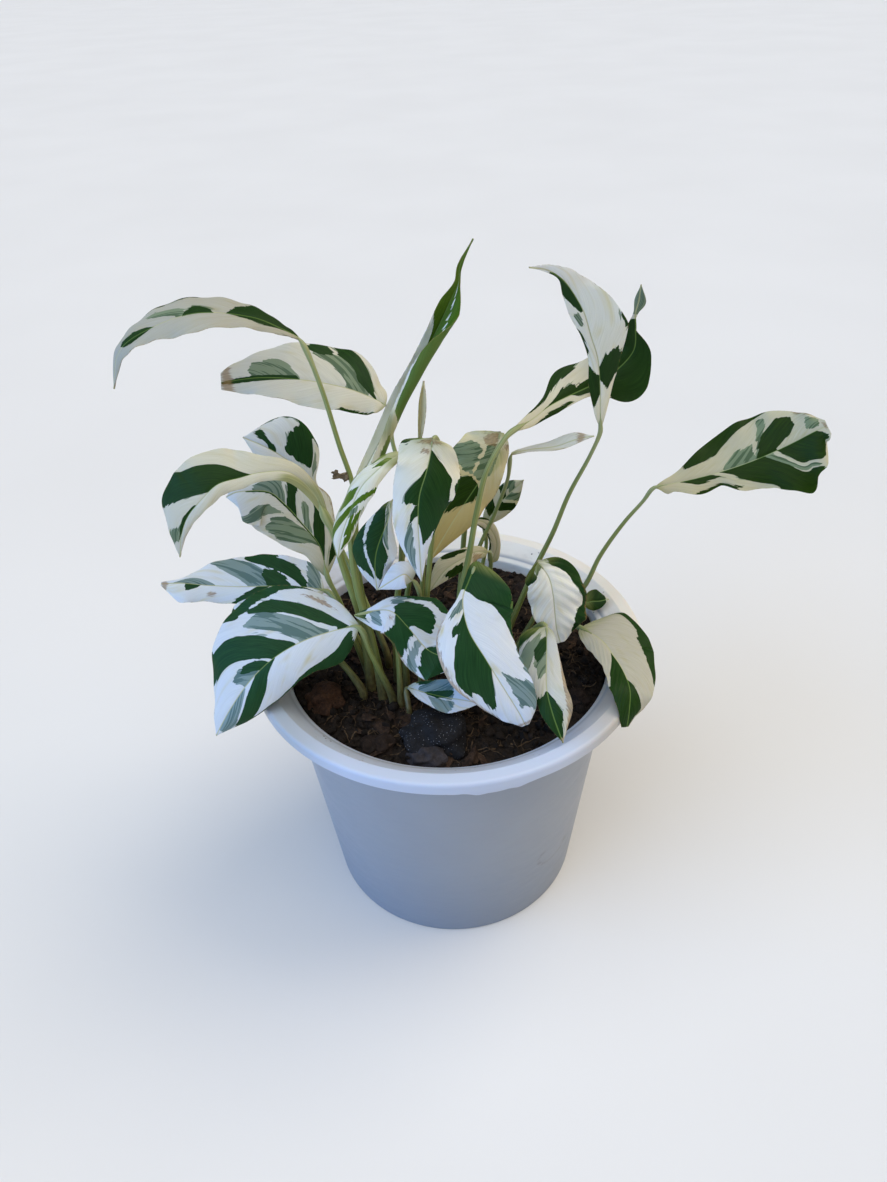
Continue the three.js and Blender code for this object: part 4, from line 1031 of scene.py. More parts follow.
def blade_grid(leaf):
    """Shares along and across the blade at which its mesh has points, closer at the midrib."""
    widest = max(row[3] + row[4] for row in leaf["stations"])
    rows = max(LEAST_ROWS, round(length_of(leaf) / CELL))
    half = int(np.clip(widest * 0.55, *HALF_COLUMNS))
    steps = np.linspace(0, 1, half + 1) ** 1.25
    return np.linspace(0, 1, rows + 1), np.concatenate([-steps[:0:-1], steps])


def outline_of(rows, columns):
    """The points on the border of a grid, once round."""
    ring = list(range(columns))
    ring += [i * columns + columns - 1 for i in range(1, rows)]
    ring += [(rows - 1) * columns + j for j in range(columns - 2, -1, -1)]
    return ring + [i * columns for i in range(rows - 2, 0, -1)]


def add_blade(shape, leaf, marks, seed):
    """A blade as a closed thin shell: its upper side, its underside with the rib, and its edge."""
    t, v = blade_grid(leaf)
    rows, columns = len(t), len(v)
    middle = blade_surface(leaf, t, v, seed, marks.get("pleat", PLEAT))
    normal = unit(np.cross(np.gradient(middle, axis=1), np.gradient(middle, axis=0)))
    across = (np.abs(v)[None, :] * half_widths(leaf, t, v))[..., None]
    thickness = BLADE / 2 * (1 - THINNING * (np.abs(v) ** 8)[None, :, None])
    ridge = RIDGE * np.exp(-((across / RIB_SPREAD) ** 2)) * (1 - 0.75 * t)[:, None, None]
    values = blade_values(leaf, marks, t, v, seed)
    upper = grid_faces(rows, columns)
    start = shape.count
    shape.add(middle + normal * thickness, upper, 0, **values)
    below = shape.count
    shape.add(middle - normal * (thickness + ridge), [face[::-1] for face in upper], 1, **values)
    ring = outline_of(rows, columns)
    for a, b in zip(ring, ring[1:] + ring[:1]):
        shape.faces.append([below + a, below + b, start + b, start + a])
        shape.material_of.append(0)


# ---------------- stalk


def centripetal(knots, samples=12):
    """Points along a centripetal Catmull-Rom curve through the knots."""
    knots = np.asarray(knots, float)
    padded = np.vstack([2 * knots[0] - knots[1], knots, 2 * knots[-1] - knots[-2]])
    found = []
    for k in range(len(knots) - 1):
        a, b, c, d = padded[k : k + 4]
        gaps = [max(np.linalg.norm(q - p) ** 0.5, 1e-4) for p, q in ((a, b), (b, c), (c, d))]
        leave = ((b - a) / gaps[0] - (c - a) / (gaps[0] + gaps[1]) + (c - b) / gaps[1]) * gaps[1]
        arrive = ((c - b) / gaps[1] - (d - b) / (gaps[1] + gaps[2]) + (d - c) / gaps[2]) * gaps[1]
        for f in np.linspace(0, 1, samples, endpoint=False):
            found.append(
                (2 * f**3 - 3 * f**2 + 1) * b
                + (f**3 - 2 * f**2 + f) * leave
                + (3 * f**2 - 2 * f**3) * c
                + (f**3 - f**2) * arrive
            )
    return np.array(found + [knots[-1]])


def evenly(points, step):
    """The same line with its points a step apart, and how far along it each is."""
    gone = np.concatenate([[0], np.cumsum(np.linalg.norm(np.diff(points, axis=0), axis=1))])
    along = np.linspace(0, gone[-1], max(4, round(gone[-1] / step)) + 1)
    return np.stack([np.interp(along, gone, points[:, k]) for k in range(3)], -1), along


def tube(points, radii, sides):
    """Rings of points round a line, turned as little as possible from one to the next."""
    ahead = unit(np.gradient(points, axis=0))
    normal = np.cross(ahead[0], [0.3, 1, 0.2])
    cosines, sines = circle(sides)
    rings = []
    for point, direction, radius in zip(points, ahead, radii):
        normal = unit(normal - direction * normal.dot(direction))
        other = np.cross(direction, normal)
        rings.append(point + radius * (cosines[:, None] * normal + sines[:, None] * other))
    return np.array(rings)


def tube_faces(rings, sides):
    """Faces round a tube, and one at each end."""
    faces = grid_faces(rings, sides, closed=True)
    faces.append(list(range(sides))[::-1])
    faces.append([(rings - 1) * sides + k for k in range(sides)])
    return faces


def stalk_radii(along, total, radius):
    """A sheath at the foot, a slight taper, and the swollen joint below the blade."""
    taper = radius[0] + (radius[1] - radius[0]) * along / total
    sheath = SHEATH[0] * np.exp(-(((along - STALK_DEPTH) / SHEATH[1]) ** 2))
    joint = JOINT[0] * np.exp(-(((along - total + JOINT[2]) / JOINT[1]) ** 2))
    tail = np.clip((total - along) / 6, 0.3, 1)
    return taper * (1 + sheath + joint) * tail


def add_stalk(shape, leaf, material, seed):
    """A stalk from inside the soil to a little way into the blade's midrib."""
    knots = [[*leaf["foot"], SOIL_HEIGHT + z] for z in (-STALK_DEPTH, -3, 3)] + list(leaf["path"])
    into_rib = rib_frame(leaf, np.array([0.03, 0.09]))[0]
    points, along = evenly(centripetal(knots + into_rib.tolist()), STALK_STEP)
    total = along[-1]
    rings = tube(points, stalk_radii(along, total, leaf["radius"]), STALK_SIDES)
    share = np.broadcast_to((along / total)[:, None], rings.shape[:2])
    far = np.broadcast_to(along[:, None], rings.shape[:2])
    around = np.broadcast_to(np.arange(STALK_SIDES)[None, :], rings.shape[:2])
    vein = np.stack([far, around + 20.0 * seed, share], -1)
    shape.add(rings, tube_faces(len(points), STALK_SIDES), material, vein=vein)


# ---------------- pot


def filleted(corners, steps=6):
    """An outline from (r, z, radius) corners, each rounded to its radius."""
    outline = []
    for k, (r, z, radius) in enumerate(corners):
        here = np.array([r, z], float)
        if radius == 0 or k in (0, len(corners) - 1):
            outline.append(here)
            continue
        before = unit(np.array(corners[k - 1][:2], float) - here)
        after = unit(np.array(corners[k + 1][:2], float) - here)
        opening = math.acos(float(np.clip(before.dot(after), -1, 1)))
        reach = radius / math.tan(opening / 2)
        start, end = here + before * reach, here + after * reach
        for f in np.linspace(0, 1, steps + 1):
            outline.append((1 - f) ** 2 * start + 2 * f * (1 - f) * here + f**2 * end)
    return np.array(outline)


def wall_radius(z):
    """Outer radius of the pot's wall at a height."""
    return FOOT_RADIUS + (NECK_RADIUS - FOOT_RADIUS) * z / NECK_HEIGHT


def lathe(outline, segments):
    """Points and faces of a body of revolution whose outline starts and ends on the axis."""
    cosines, sines = circle(segments)
    r, z = outline[1:-1, :1], outline[1:-1, 1:]
    rings = np.stack([r * cosines, r * sines, z + 0 * cosines], -1)
    return capped_rings(rings, (0, 0, outline[0][1]), (0, 0, outline[-1][1]))


def pot_outline():
    """A tapering cup whose lip spreads out and turns down at its edge: (r, z, rounding) corners."""
    lip_low = POT_HEIGHT - LIP_HEIGHT
    inside = RIM_RADIUS - LIP_THICKNESS
    return filleted([
        (0, 0, 0),
        (FOOT_RADIUS - 5, 0, 0.5),
        (FOOT_RADIUS, 0, 1.8),
        (wall_radius(COLLAR_LOW - COLLAR_STEP), COLLAR_LOW - COLLAR_STEP, 0.2),
        (wall_radius(COLLAR_LOW) + COLLAR_DEPTH, COLLAR_LOW, 0.8),
        (NECK_RADIUS + COLLAR_DEPTH, NECK_HEIGHT, 2.5),
        (RIM_RADIUS - LIP_TOP, POT_HEIGHT - 2 * LIP_THICKNESS, 1.5),
        (inside, POT_HEIGHT - 1.4 * LIP_THICKNESS, 0.6),
        (inside, lip_low, 0.25),
        (RIM_RADIUS, lip_low, 0.4),
        (RIM_RADIUS, POT_HEIGHT, 2.2),
        (RIM_RADIUS - LIP_TOP, POT_HEIGHT - 0.2, 1.2),
        (NECK_RADIUS - WALL, NECK_HEIGHT, 2.0),
        (wall_radius(FLOOR) - WALL, FLOOR, 2.5),
        (0, FLOOR, 0),
    ])


def cut_drain_holes(pot):
    """Bores the holes through the pot's floor."""
    cutters = []
    for k in range(DRAIN_HOLES):
        angle = 2 * math.pi * (k + 0.5) / DRAIN_HOLES
        centre = np.array([DRAIN_CIRCLE * math.cos(angle), DRAIN_CIRCLE * math.sin(angle), 0])
        line = centre + np.array([[0, 0, -2 * FLOOR], [0, 0, 2 * FLOOR]])
        hole = Shape()
        hole.add(tube(line, [DRAIN_RADIUS] * 2, 32), tube_faces(2, 32))
        cutter = hole.build(f"drain_cutter_{k}", [])
        cut = pot.modifiers.new("drain", "BOOLEAN")
        cut.object = cutter
        cut.solver = "EXACT"
        cutters.append(cutter)
    seen = pot.evaluated_get(bpy.context.evaluated_depsgraph_get())
    pot.data = bpy.data.meshes.new_from_object(seen)
    pot.modifiers.clear()
    for cutter in cutters:
        bpy.data.objects.remove(cutter)


def make_burr(material):
    """The thin ragged burr that hangs from the front of the lip's lower edge."""
    low = POT_HEIGHT - LIP_HEIGHT
    outer = RIM_RADIUS - 0.35
    inner = outer - BURR_THICKNESS
    angles = np.radians(np.linspace(*BURR_ANGLES, BURR_STEPS + 1))
    rings = []
    for angle in angles:
        place = (math.cos(angle) * 14, math.sin(angle) * 14, 0)
        ends = min(1.0, 8 * (angle - angles[0]), 8 * (angles[-1] - angle))
        depth = 0.15 + ends * max(0.1, 0.9 + 1.3 * noise.noise(place))
        corners = [(outer, low + 0.5), (outer, low - depth), (inner, low - depth), (inner, low + 0.5)]
        rings.append([(r * math.cos(angle), r * math.sin(angle), z) for r, z in corners])
    shape = Shape()
    shape.add(np.array(rings), tube_faces(BURR_STEPS + 1, 4))
    return dress(shape.build("lip_burr", [material]), "pot_plastic")


def make_scrap(material):
    """The dried bit that clings to one of the left stalks."""
    points, faces = ball(4)
    shape = Shape()
    for k, (at, size, turn) in enumerate(SCRAP):
        shape.add(lump(points, size, at, Euler(turn).to_quaternion(), 1.1, 1.5, 4.1 * k), faces)
    return dress(shape.build("dried_scrap", [material]), "leaf_dry")


def make_pot(material):
    """The pot, turned from its outline."""
    shape = Shape()
    shape.add(*lathe(pot_outline(), POT_SEGMENTS))
    pot = shape.build("nursery_pot", [material], sharp=40)
    cut_drain_holes(pot)
    return dress(pot, "pot_plastic", "pot")


# ---------------- soil


def soil_reach(z):
    """Radius of the soil at a height."""
    return wall_radius(z) - WALL - SOIL_GAP


def soil_relief(x, y):
    """Rise and fall of the soil's surface, with crumbs of three sizes."""
    edge = 1 - min(1.0, math.hypot(x, y) / soil_reach(SOIL_HEIGHT)) ** 6
    broad = 1.2 * edge * (math.sin(x / 9 + 1) * math.cos(y / 11) + 0.6 * math.sin((x + y) / 5))
    rough = 1.8 * noise.noise((x / 5, y / 5, 3.0)) + 1.2 * noise.noise((x / 2.2, y / 2.2, 9.0))
    return broad + rough + 0.35 * noise.noise((x, y, 5.0)) - 0.6


def add_soil_surface(shape):
    """The filling: a rough top, and sides that follow the pot's wall."""
    reach = soil_reach(SOIL_HEIGHT)
    cosines, sines = circle(SOIL_SEGMENTS)
    rings = []
    for radius in np.arange(SOIL_RING_GAP, reach, SOIL_RING_GAP):
        ring = zip(radius * cosines, radius * sines)
        rings.append([(x, y, SOIL_HEIGHT + soil_relief(x, y)) for x, y in ring])
    low = FLOOR + SOIL_GAP
    for radius, z in ((reach, SOIL_HEIGHT - 2), (soil_reach(low), low)):
        rings.append(np.stack([radius * cosines, radius * sines, z + 0 * cosines], -1))
    points, faces = capped_rings(np.array(rings), (0, 0, SOIL_HEIGHT + soil_relief(0, 0)), (0, 0, low))
    shape.add(points, [face[::-1] for face in faces])


def ball(level):
    """Points and faces of a round ball of radius 1, made of triangles."""
    mesh = bpy.data.meshes.new("ball")
    work = bmesh.new()
    bmesh.ops.create_icosphere(work, subdivisions=level, radius=1)
    work.to_mesh(mesh)
    work.free()
    points = np.array([point.co[:] for point in mesh.vertices])
    faces = [list(face.vertices) for face in mesh.polygons]
    bpy.data.meshes.remove(mesh)
    return points, faces


def lump(points, size, at, turn, roughness, grain, seed):
    """A ball's points made uneven, stretched, turned and put in place."""
    shift = Vector((seed, 0, 0))
    uneven = np.array([1 + roughness * noise.noise(Vector(p * grain) + shift) for p in points])
    turned = (points * uneven[:, None] * np.array(size)) @ np.array(turn.to_matrix()).T
    return turned + np.array(at)


def add_clods(shape):
    """The large lumps. The first three have materials of their own, and the others share one."""
    points, faces = ball(5)
    for k, (at, size) in enumerate(CLODS):
        made = lump(points, size, at, Quaternion(), 0.4, 1.6, 7.3 * k)
        grit = np.array([noise.noise(Vector(p) * 0.9) for p in made])[:, None]
        shape.add(made + 0.35 * grit * unit(made - np.array(at)), faces, min(k + 1, 4))


def random_turn(dice):
    """A turn to any side."""
    return Euler([dice.uniform(0, 2 * math.pi) for _ in range(3)]).to_quaternion()


def place_on_soil(dice, reach):
    """A random place on the soil, as likely in one spot as in another."""
    radius = reach * math.sqrt(dice.random())
    angle = dice.uniform(0, 2 * math.pi)
    return radius * math.cos(angle), radius * math.sin(angle)


def add_crumbs(shape, dice):
    """Round crumbs, a few of them large."""
    points, faces = ball(1)
    for k in range(CRUMBS):
        x, y = place_on_soil(dice, CRUMB_REACH)
        size = CRUMB_SIZES[0] + CRUMB_SIZES[1] * dice.random() ** 4
        at = (x, y, SOIL_HEIGHT + soil_relief(x, y) + 0.25 * size)
        sizes = [size * dice.uniform(0.7, 1.2) for _ in range(3)]
        shape.add(lump(points, sizes, at, random_turn(dice), 0.7, 1.6, 3.1 * k), faces)


def make_soil(*materials):
    """The soil with its lumps and crumbs."""
    shape = Shape()
    add_soil_surface(shape)
    add_clods(shape)
    add_crumbs(shape, random.Random(SEED))
    return dress(shape.build("potting_soil", materials, sharp=60), "soil", "soil")


def make_chips(material):
    """Bits of bark that lie flat on the soil."""
    dice = random.Random(SEED + 1)
    shape = Shape()
    points, faces = ball(2)
    for k in range(CHIPS):
        x, y = place_on_soil(dice, CHIP_REACH)
        long = dice.uniform(*CHIP_LENGTHS)
        size = (long, long * dice.uniform(0.25, 0.5), dice.uniform(0.4, 0.9))
        tilt = [dice.uniform(-CHIP_TILT, CHIP_TILT) for _ in range(2)]
        turn = Euler((*tilt, dice.uniform(0, 6.28)))
        at = (x, y, SOIL_HEIGHT + soil_relief(x, y) + 0.6)
        shape.add(lump(points, size, at, turn.to_quaternion(), 0.8, 1.7, 5.7 * k), faces)
    return dress(shape.build("bark_chips", [material], sharp=35), "soil")


def fibre_line(dice):
    """The bends of one fibre that wanders over the soil."""
    x, y = place_on_soil(dice, FIBRE_REACH)
    heading = dice.uniform(0, 2 * math.pi)
    step = dice.uniform(*FIBRE_LENGTHS) / FIBRE_BENDS
    line = []
    for _ in range(FIBRE_BENDS):
        heading += dice.uniform(-0.8, 0.8)
        x += math.cos(heading) * step
        y += math.sin(heading) * step
        inwards = min(1.0, FIBRE_LIMIT / math.hypot(x, y))
        x, y = x * inwards, y * inwards
        line.append((x, y, SOIL_HEIGHT + soil_relief(x, y) + dice.uniform(-0.3, 1.3)))
    return line


def make_fibres(material):
    """Thin bent roots and fibres in the soil."""
    dice = random.Random(SEED + 2)
    shape = Shape()
    for _ in range(FIBRES):
        points, along = evenly(centripetal(fibre_line(dice), 4), 1.5)
        radii = dice.uniform(*FIBRE_RADII) * (1 - 0.6 * along / along[-1])
        shape.add(tube(points, radii, 6), tube_faces(len(points), 6))
    return dress(shape.build("root_fibres", [material]), "soil")


# ---------------- materials


class Graph:
    """A material and short calls that build its nodes."""

    def __init__(self, name):
        self.material = bpy.data.materials.new(name)
        self.material.use_nodes = True
        self.tree = self.material.node_tree
        self.tree.nodes.clear()
        self.shader = self.tree.nodes.new("ShaderNodeBsdfPrincipled")
        output = self.tree.nodes.new("ShaderNodeOutputMaterial")
        self.tree.links.new(self.shader.outputs[0], output.inputs["Surface"])

    def give(self, socket, value):
        """Links a value to a socket, or sets it; a colour may come without its alpha."""
        if isinstance(value, bpy.types.NodeSocket):
            self.tree.links.new(value, socket)
        else:
            colour = socket.type == "RGBA" and len(value) == 3
            socket.default_value = (*value, 1) if colour else value

    def finish(self, colour, roughness, relief=None, **settings):
        """Sets the shader: a relief in mm gives a bump, and settings are its other sockets."""
        self.give(self.shader.inputs["Base Color"], colour)
        self.give(self.shader.inputs["Roughness"], roughness)
        for name, value in settings.items():
            self.shader.inputs[name.replace("_", " ")].default_value = value
        if relief is not None:
            node = self.tree.nodes.new("ShaderNodeBump")
            node.inputs["Strength"].default_value = 1
            node.inputs["Distance"].default_value = MM
            self.give(node.inputs["Height"], relief)
            self.tree.links.new(node.outputs[0], self.shader.inputs["Normal"])
        return self.material

    def attribute(self, name):
        """A value that the mesh has at each point."""
        node = self.tree.nodes.new("ShaderNodeAttribute")
        node.attribute_name = name
        return node.outputs["Vector"]

    def position(self):
        """Place on the piece, in metres."""
        return self.tree.nodes.new("ShaderNodeTexCoord").outputs["Object"]

    def split(self, vector):
        node = self.tree.nodes.new("ShaderNodeSeparateXYZ")
        self.give(node.inputs[0], vector)
        return node.outputs[0], node.outputs[1], node.outputs[2]

    def scaled(self, vector, scale, shift=(0, 0, 0)):
        node = self.tree.nodes.new("ShaderNodeMapping")
        self.give(node.inputs["Vector"], vector)
        node.inputs["Scale"].default_value = scale
        node.inputs["Location"].default_value = shift
        return node.outputs[0]

    def math(self, operation, a, b=0.0, clamp=False):
        node = self.tree.nodes.new("ShaderNodeMath")
        node.operation = operation
        node.use_clamp = clamp
        self.give(node.inputs[0], a)
        self.give(node.inputs[1], b)
        return node.outputs[0]

    def plus(self, a, b):
        return self.math("ADD", a, b)

    def times(self, a, *factors):
        for factor in factors:
            a = self.math("MULTIPLY", a, factor)
        return a

    def most(self, a, b):
        return self.math("MAXIMUM", a, b)

    def step(self, value, low, high):
        """0 below low, 1 above high and smooth between them."""
        node = self.tree.nodes.new("ShaderNodeMapRange")
        node.interpolation_type = "SMOOTHSTEP"
        self.give(node.inputs["Value"], value)
        self.give(node.inputs["From Min"], low)
        self.give(node.inputs["From Max"], high)
        return node.outputs[0]

    def noise(self, vector, scale=1.0, detail=2.0, roughness=0.5):
        """Noise from about -1 to 1."""
        node = self.tree.nodes.new("ShaderNodeTexNoise")
        self.give(node.inputs["Vector"], vector)
        node.inputs["Scale"].default_value = scale
        node.inputs["Detail"].default_value = detail
        node.inputs["Roughness"].default_value = roughness
        return self.math("MULTIPLY", self.math("SUBTRACT", node.outputs[0], 0.5), 3.0)

    def cells(self, vector, scale):
        """Distance to the nearest of scattered points, in their usual spacing."""
        node = self.tree.nodes.new("ShaderNodeTexVoronoi")
        node.inputs["Scale"].default_value = scale
        self.give(node.inputs["Vector"], vector)
        return node.outputs["Distance"]

    def mix(self, factor, a, b):
        node = self.tree.nodes.new("ShaderNodeMix")
        node.data_type = "RGBA"
        self.give(node.inputs[0], factor)
        self.give(node.inputs[6], a)
        self.give(node.inputs[7], b)
        return node.outputs[2]

    def tint(self, name, value, low, high):
        """A colour between the two ends of a named pair, by where value is from low to high."""
        return self.mix(self.step(value, low, high), *COLOURS[name])

    def brighter(self, colour, factor):
        """The colour times a factor."""
        node = self.tree.nodes.new("ShaderNodeVectorMath")
        node.operation = "SCALE"
        self.give(node.inputs[0], colour)
        self.give(node.inputs["Scale"], factor)
        return node.outputs[0]


def leaf_ground(g, tone, pale, streak, wander):
    """Cream to cool white tissue, a little streaked along the veins; the cream and the cool white are
    partly painted warm light and cool shade, and pale paints shade and light leaf by leaf.
    """
    ground = g.mix(tone, g.tint("cream", streak, -1.0, 1.0), g.tint("white", streak, -1.0, 1.0))
    ground = g.mix(g.step(wander, 0.1, 1.4), ground, AGED_CREAM)
    ground = g.mix(g.step(tone, 0.0, -1.0), ground, STRAW)
    # pale: painted shade below the usual, painted light above it
    return g.brighter(ground, pale)


def torn_edge(g, depth, lobes, fine, calm, reach):
    """A marking's depth with its edge moved in lobes and small teeth, calm beside the midrib."""
    moved = g.plus(g.times(lobes, reach), g.times(fine, 0.22 * reach))
    return g.plus(depth, g.times(moved, calm))


def leaf_greens(g, tone, young, streak, fine_streak, teeth, under):
    """The grey and the dark green of the markings, by the leaf's tone and age; their warm and cool kinds
    follow the tone's painted light.
    """
    two_tone = g.plus(streak, g.times(teeth, 0.15))
    cool = g.most(tone, 0.0)
    warm_grey = g.tint("warm_grey", two_tone, -0.14, -0.02)
    grey = g.mix(g.times(cool, cool), warm_grey, g.tint("cool_grey", two_tone, -0.14, -0.02))
    dark = UNDERSIDE_GREEN
    if not under:
        cool_dark = g.tint("cool_dark", fine_streak, -1.0, 1.2)
        dark = g.mix(tone, g.tint("warm_dark", fine_streak, -1.0, 1.2), cool_dark)
    return grey, g.mix(young, dark, g.tint("young_green", fine_streak, -1.0, 1.2))


def leaf_material(name, under):
    """A blade's side. The marks' depths are turned into colours with edges torn along the veins."""
    g = Graph(name)
    dark, grey, brown = g.split(g.attribute("marks"))
    rim, base, fresh = g.split(g.attribute("place"))
    vein = g.attribute("vein")
    along, across, _ = g.split(vein)
    tone, pale, young = g.split(g.attribute("ground"))
    rib = g.math("ABSOLUTE", across)

    grains = (g.noise(g.scaled(vein, *row), detail=detail) for row, detail in LEAF_NOISE.values())
    lobes, other_lobes, teeth, streak, fine_streak, wander, blot = grains

    calm = g.math("DIVIDE", rib, CALM_WIDTH, clamp=True)
    is_dark = g.step(torn_edge(g, dark, lobes, teeth, calm, 0.85), -0.07, 0.07)
    is_grey = g.step(torn_edge(g, grey, other_lobes, teeth, calm, 1.1), -0.08, 0.08)
    halo = g.plus(g.math("SUBTRACT", dark, 0.3), g.times(other_lobes, 2.6))
    is_grey = g.most(is_grey, g.times(g.step(halo, 0.0, 0.2), calm, 0.8))

    grey_green, dark_green = leaf_greens(g, tone, young, streak, fine_streak, teeth, under)
    colour = g.mix(is_grey, leaf_ground(g, tone, pale, fine_streak, wander), grey_green)
    colour = g.mix(is_dark, colour, dark_green)
    is_fresh = g.most(g.step(fresh, -2.0, 3.0), g.times(g.step(base, 7.0, 0.0), 0.8))
    colour = g.mix(g.times(is_fresh, 0.7), colour, g.tint("fresh_green", streak, -0.6, 0.8))

    rib_width = RIB_WIDTH_UNDER if under else RIB_WIDTH
    is_rib = g.step(rib, rib_width, rib_width * 0.5)
    colour = g.mix(g.times(is_rib, 0.8), colour, g.mix(is_dark, RIB_ON_PALE, RIB_ON_DARK))

    dry_edge = g.plus(g.math("SUBTRACT", 0.12, rim), g.times(blot, 0.4))
    is_brown = g.step(g.plus(brown, g.times(blot, 1.4)), -0.2, 1.0)
    is_dry = g.most(g.step(dry_edge, 0.0, 0.2), is_brown)
    colour = g.mix(g.times(is_dry, 0.7), colour, g.tint("dry_leaf", blot, -0.5, 0.8))
    if under:
        colour = g.mix(0.08, colour, UNDERSIDE_BLOOM)

    ribs = g.math("SINE", g.times(along, 2 * math.pi / FINE_RIBS))
    relief = g.plus(g.times(ribs, 0.007), g.times(fine_streak, 0.016))
    return g.finish(
        colour,
        g.plus(0.55 if under else 0.42, g.times(fine_streak, 0.05)),
        g.plus(relief, g.times(blot, 0.015)),
        IOR=1.40,
        Specular_IOR_Level=0.14,
        Subsurface_Weight=0.25,
        Subsurface_Radius=(0.9, 1.0, 0.5),
        Subsurface_Scale=0.0012,
    )


def stalk_material(name):
    """Olive green, brownish at the sheathed foot, which is also darkened and run higher as painted shade,
    and paler at the joint below the blade.
    """
    g = Graph(name)
    vein = g.attribute("vein")
    along, _, share = g.split(vein)
    lines = g.noise(g.scaled(vein, (0.03, 1.1, 1)), detail=2)
    blot = g.noise(g.scaled(vein, (0.35, 0.6, 1), (4, 0, 0)), detail=3)
    green = g.tint("stalk", lines, -0.8, 0.8)
    colour = g.mix(g.step(share, 0.7, 1.0), green, g.tint("stalk_top", lines, -0.8, 0.8))
    # the foot's brown is partly the sheath's own and partly painted shade
    colour = g.mix(g.step(along, 46.0, 14.0), colour, g.tint("stalk_foot_and_shade", blot, -0.8, 0.8))
    colour = g.mix(g.times(g.step(blot, 0.9, 1.2), 0.6), colour, STALK_SPOT)
    rough = g.plus(0.42, g.times(blot, 0.05))
    return g.finish(colour, rough, g.times(lines, 0.05), Subsurface_Weight=0.05, Subsurface_Scale=0.002)


def soil_material(name, grain=1.0, specks=None):
    """Dark crumbs; specks: above this noise, from -1 to 1, pale grains lie among them."""
    g = Graph(name)
    place = g.position()
    coarse = g.noise(place, scale=260 * grain, detail=4, roughness=0.6)
    fine = g.noise(place, scale=1100 * grain, detail=3, roughness=0.7)
    colour = g.tint(name, g.plus(g.times(coarse, 0.6), g.times(fine, 0.5)), -0.7, 0.9)
    if specks:
        among = g.step(g.noise(place, scale=200), specks, specks + 0.3)
        colour = g.mix(g.times(g.step(g.cells(place, 900), 0.17, 0.09), among), colour, PALE_GRAIN)
    relief = g.plus(g.times(fine, 0.25), g.times(coarse, 0.3))
    return g.finish(colour, g.plus(0.85, g.times(fine, 0.1)), relief, Specular_IOR_Level=0.15)


def lip_colour(g, x, y):
    """The lip's white, painted bluish by cool light at the front and creamier by warm light behind, with
    painted shade towards the front's two sides.
    """
    white = g.tint("lip", g.plus(g.times(x, 0.8), y), 20, 70)
    # painted shade on the lip's front left and front right
    is_shaded_side = g.times(g.step(g.math("ABSOLUTE", x), 45, 80), g.step(y, 10, -30))
    return g.mix(is_shaded_side, white, g.mix(g.math("GREATER_THAN", x, 0.0), *COLOURS["shaded_lip_sides"]))


def pot_material(name):
    """White moulded plastic, scuffed on the wall and specked with soil round the lip's inside, where a soil
    mark is also painted warm shade. The wall is painted in bluish shade that deepens towards its foot, the
    lip in painted cool and warm light.
    """
    g = Graph(name)
    place = g.position()
    x, y, z = g.split(g.scaled(place, (1 / MM, 1 / MM, 1 / MM)))
    reach = g.math("SQRT", g.plus(g.times(x, x), g.times(y, y)))
    broad = g.noise(place, scale=14, detail=2)
    scuff = g.noise(g.scaled(place, (1, 1, 3.5)), scale=90, detail=5, roughness=0.65)
    fine = g.noise(place, scale=900, detail=2)

    # painted shade: the wall is a darker, bluer white than the lip, and darker still towards its foot
    wall = g.mix(g.step(z, SHADE_HEIGHT, 0), g.tint("wall", broad, -0.8, 0.8), SHADED_FOOT)
    outside = g.most(g.step(z, *LIP_FROM_HEIGHT), g.step(reach, *LIP_FROM_REACH))
    inside = g.times(g.step(z, *INSIDE_FROM_HEIGHT), g.step(reach, *INSIDE_FROM_REACH))
    lip = g.most(outside, inside)
    colour = g.mix(lip, wall, lip_colour(g, x, y))
    colour = g.mix(g.times(g.step(scuff, 0.7, 1.3), 0.25), colour, WORN)
    colour = g.mix(g.times(pot_scuff(g, x, y, z, scuff), 0.8), colour, SCUFF)

    # round the rim's inside: soil specks, and a mark that is partly soil and partly painted warm shade
    dirt_and_warm_shade = g.times(g.step(z, *DIRT_AND_WARM_SHADE_FROM_HEIGHT), g.step(reach, *DIRT_AND_WARM_SHADE_FROM_REACH))
    stain_and_warm_shade = g.step(g.plus(scuff, g.times(broad, 0.6)), -0.4, 1.2)
    colour = g.mix(g.times(dirt_and_warm_shade, stain_and_warm_shade, 0.35), colour, SOIL_STAIN_AND_WARM_SHADE)
    here = g.step(g.noise(place, scale=45, detail=1), 0.1, 0.5)
    many = g.times(g.step(g.cells(place, 330), 0.2, 0.13), here)
    there = g.step(g.noise(g.scaled(place, (1, 1, 1), (3, 1, 2)), scale=70, detail=1), 0.5, 0.8)
    lone = g.times(g.step(g.cells(place, 210), 0.1, 0.07), there, lip)
    colour = g.mix(g.times(g.most(g.times(many, dirt_and_warm_shade), lone), 0.9), colour, SOIL_SPECK)
    return g.finish(
        colour,
        g.plus(0.38, g.times(scuff, 0.08)),
        g.plus(g.times(broad, 0.12), g.times(fine, 0.006)),
        Specular_IOR_Level=0.4,
        Subsurface_Weight=0.06,
        Subsurface_Scale=0.004,
    )


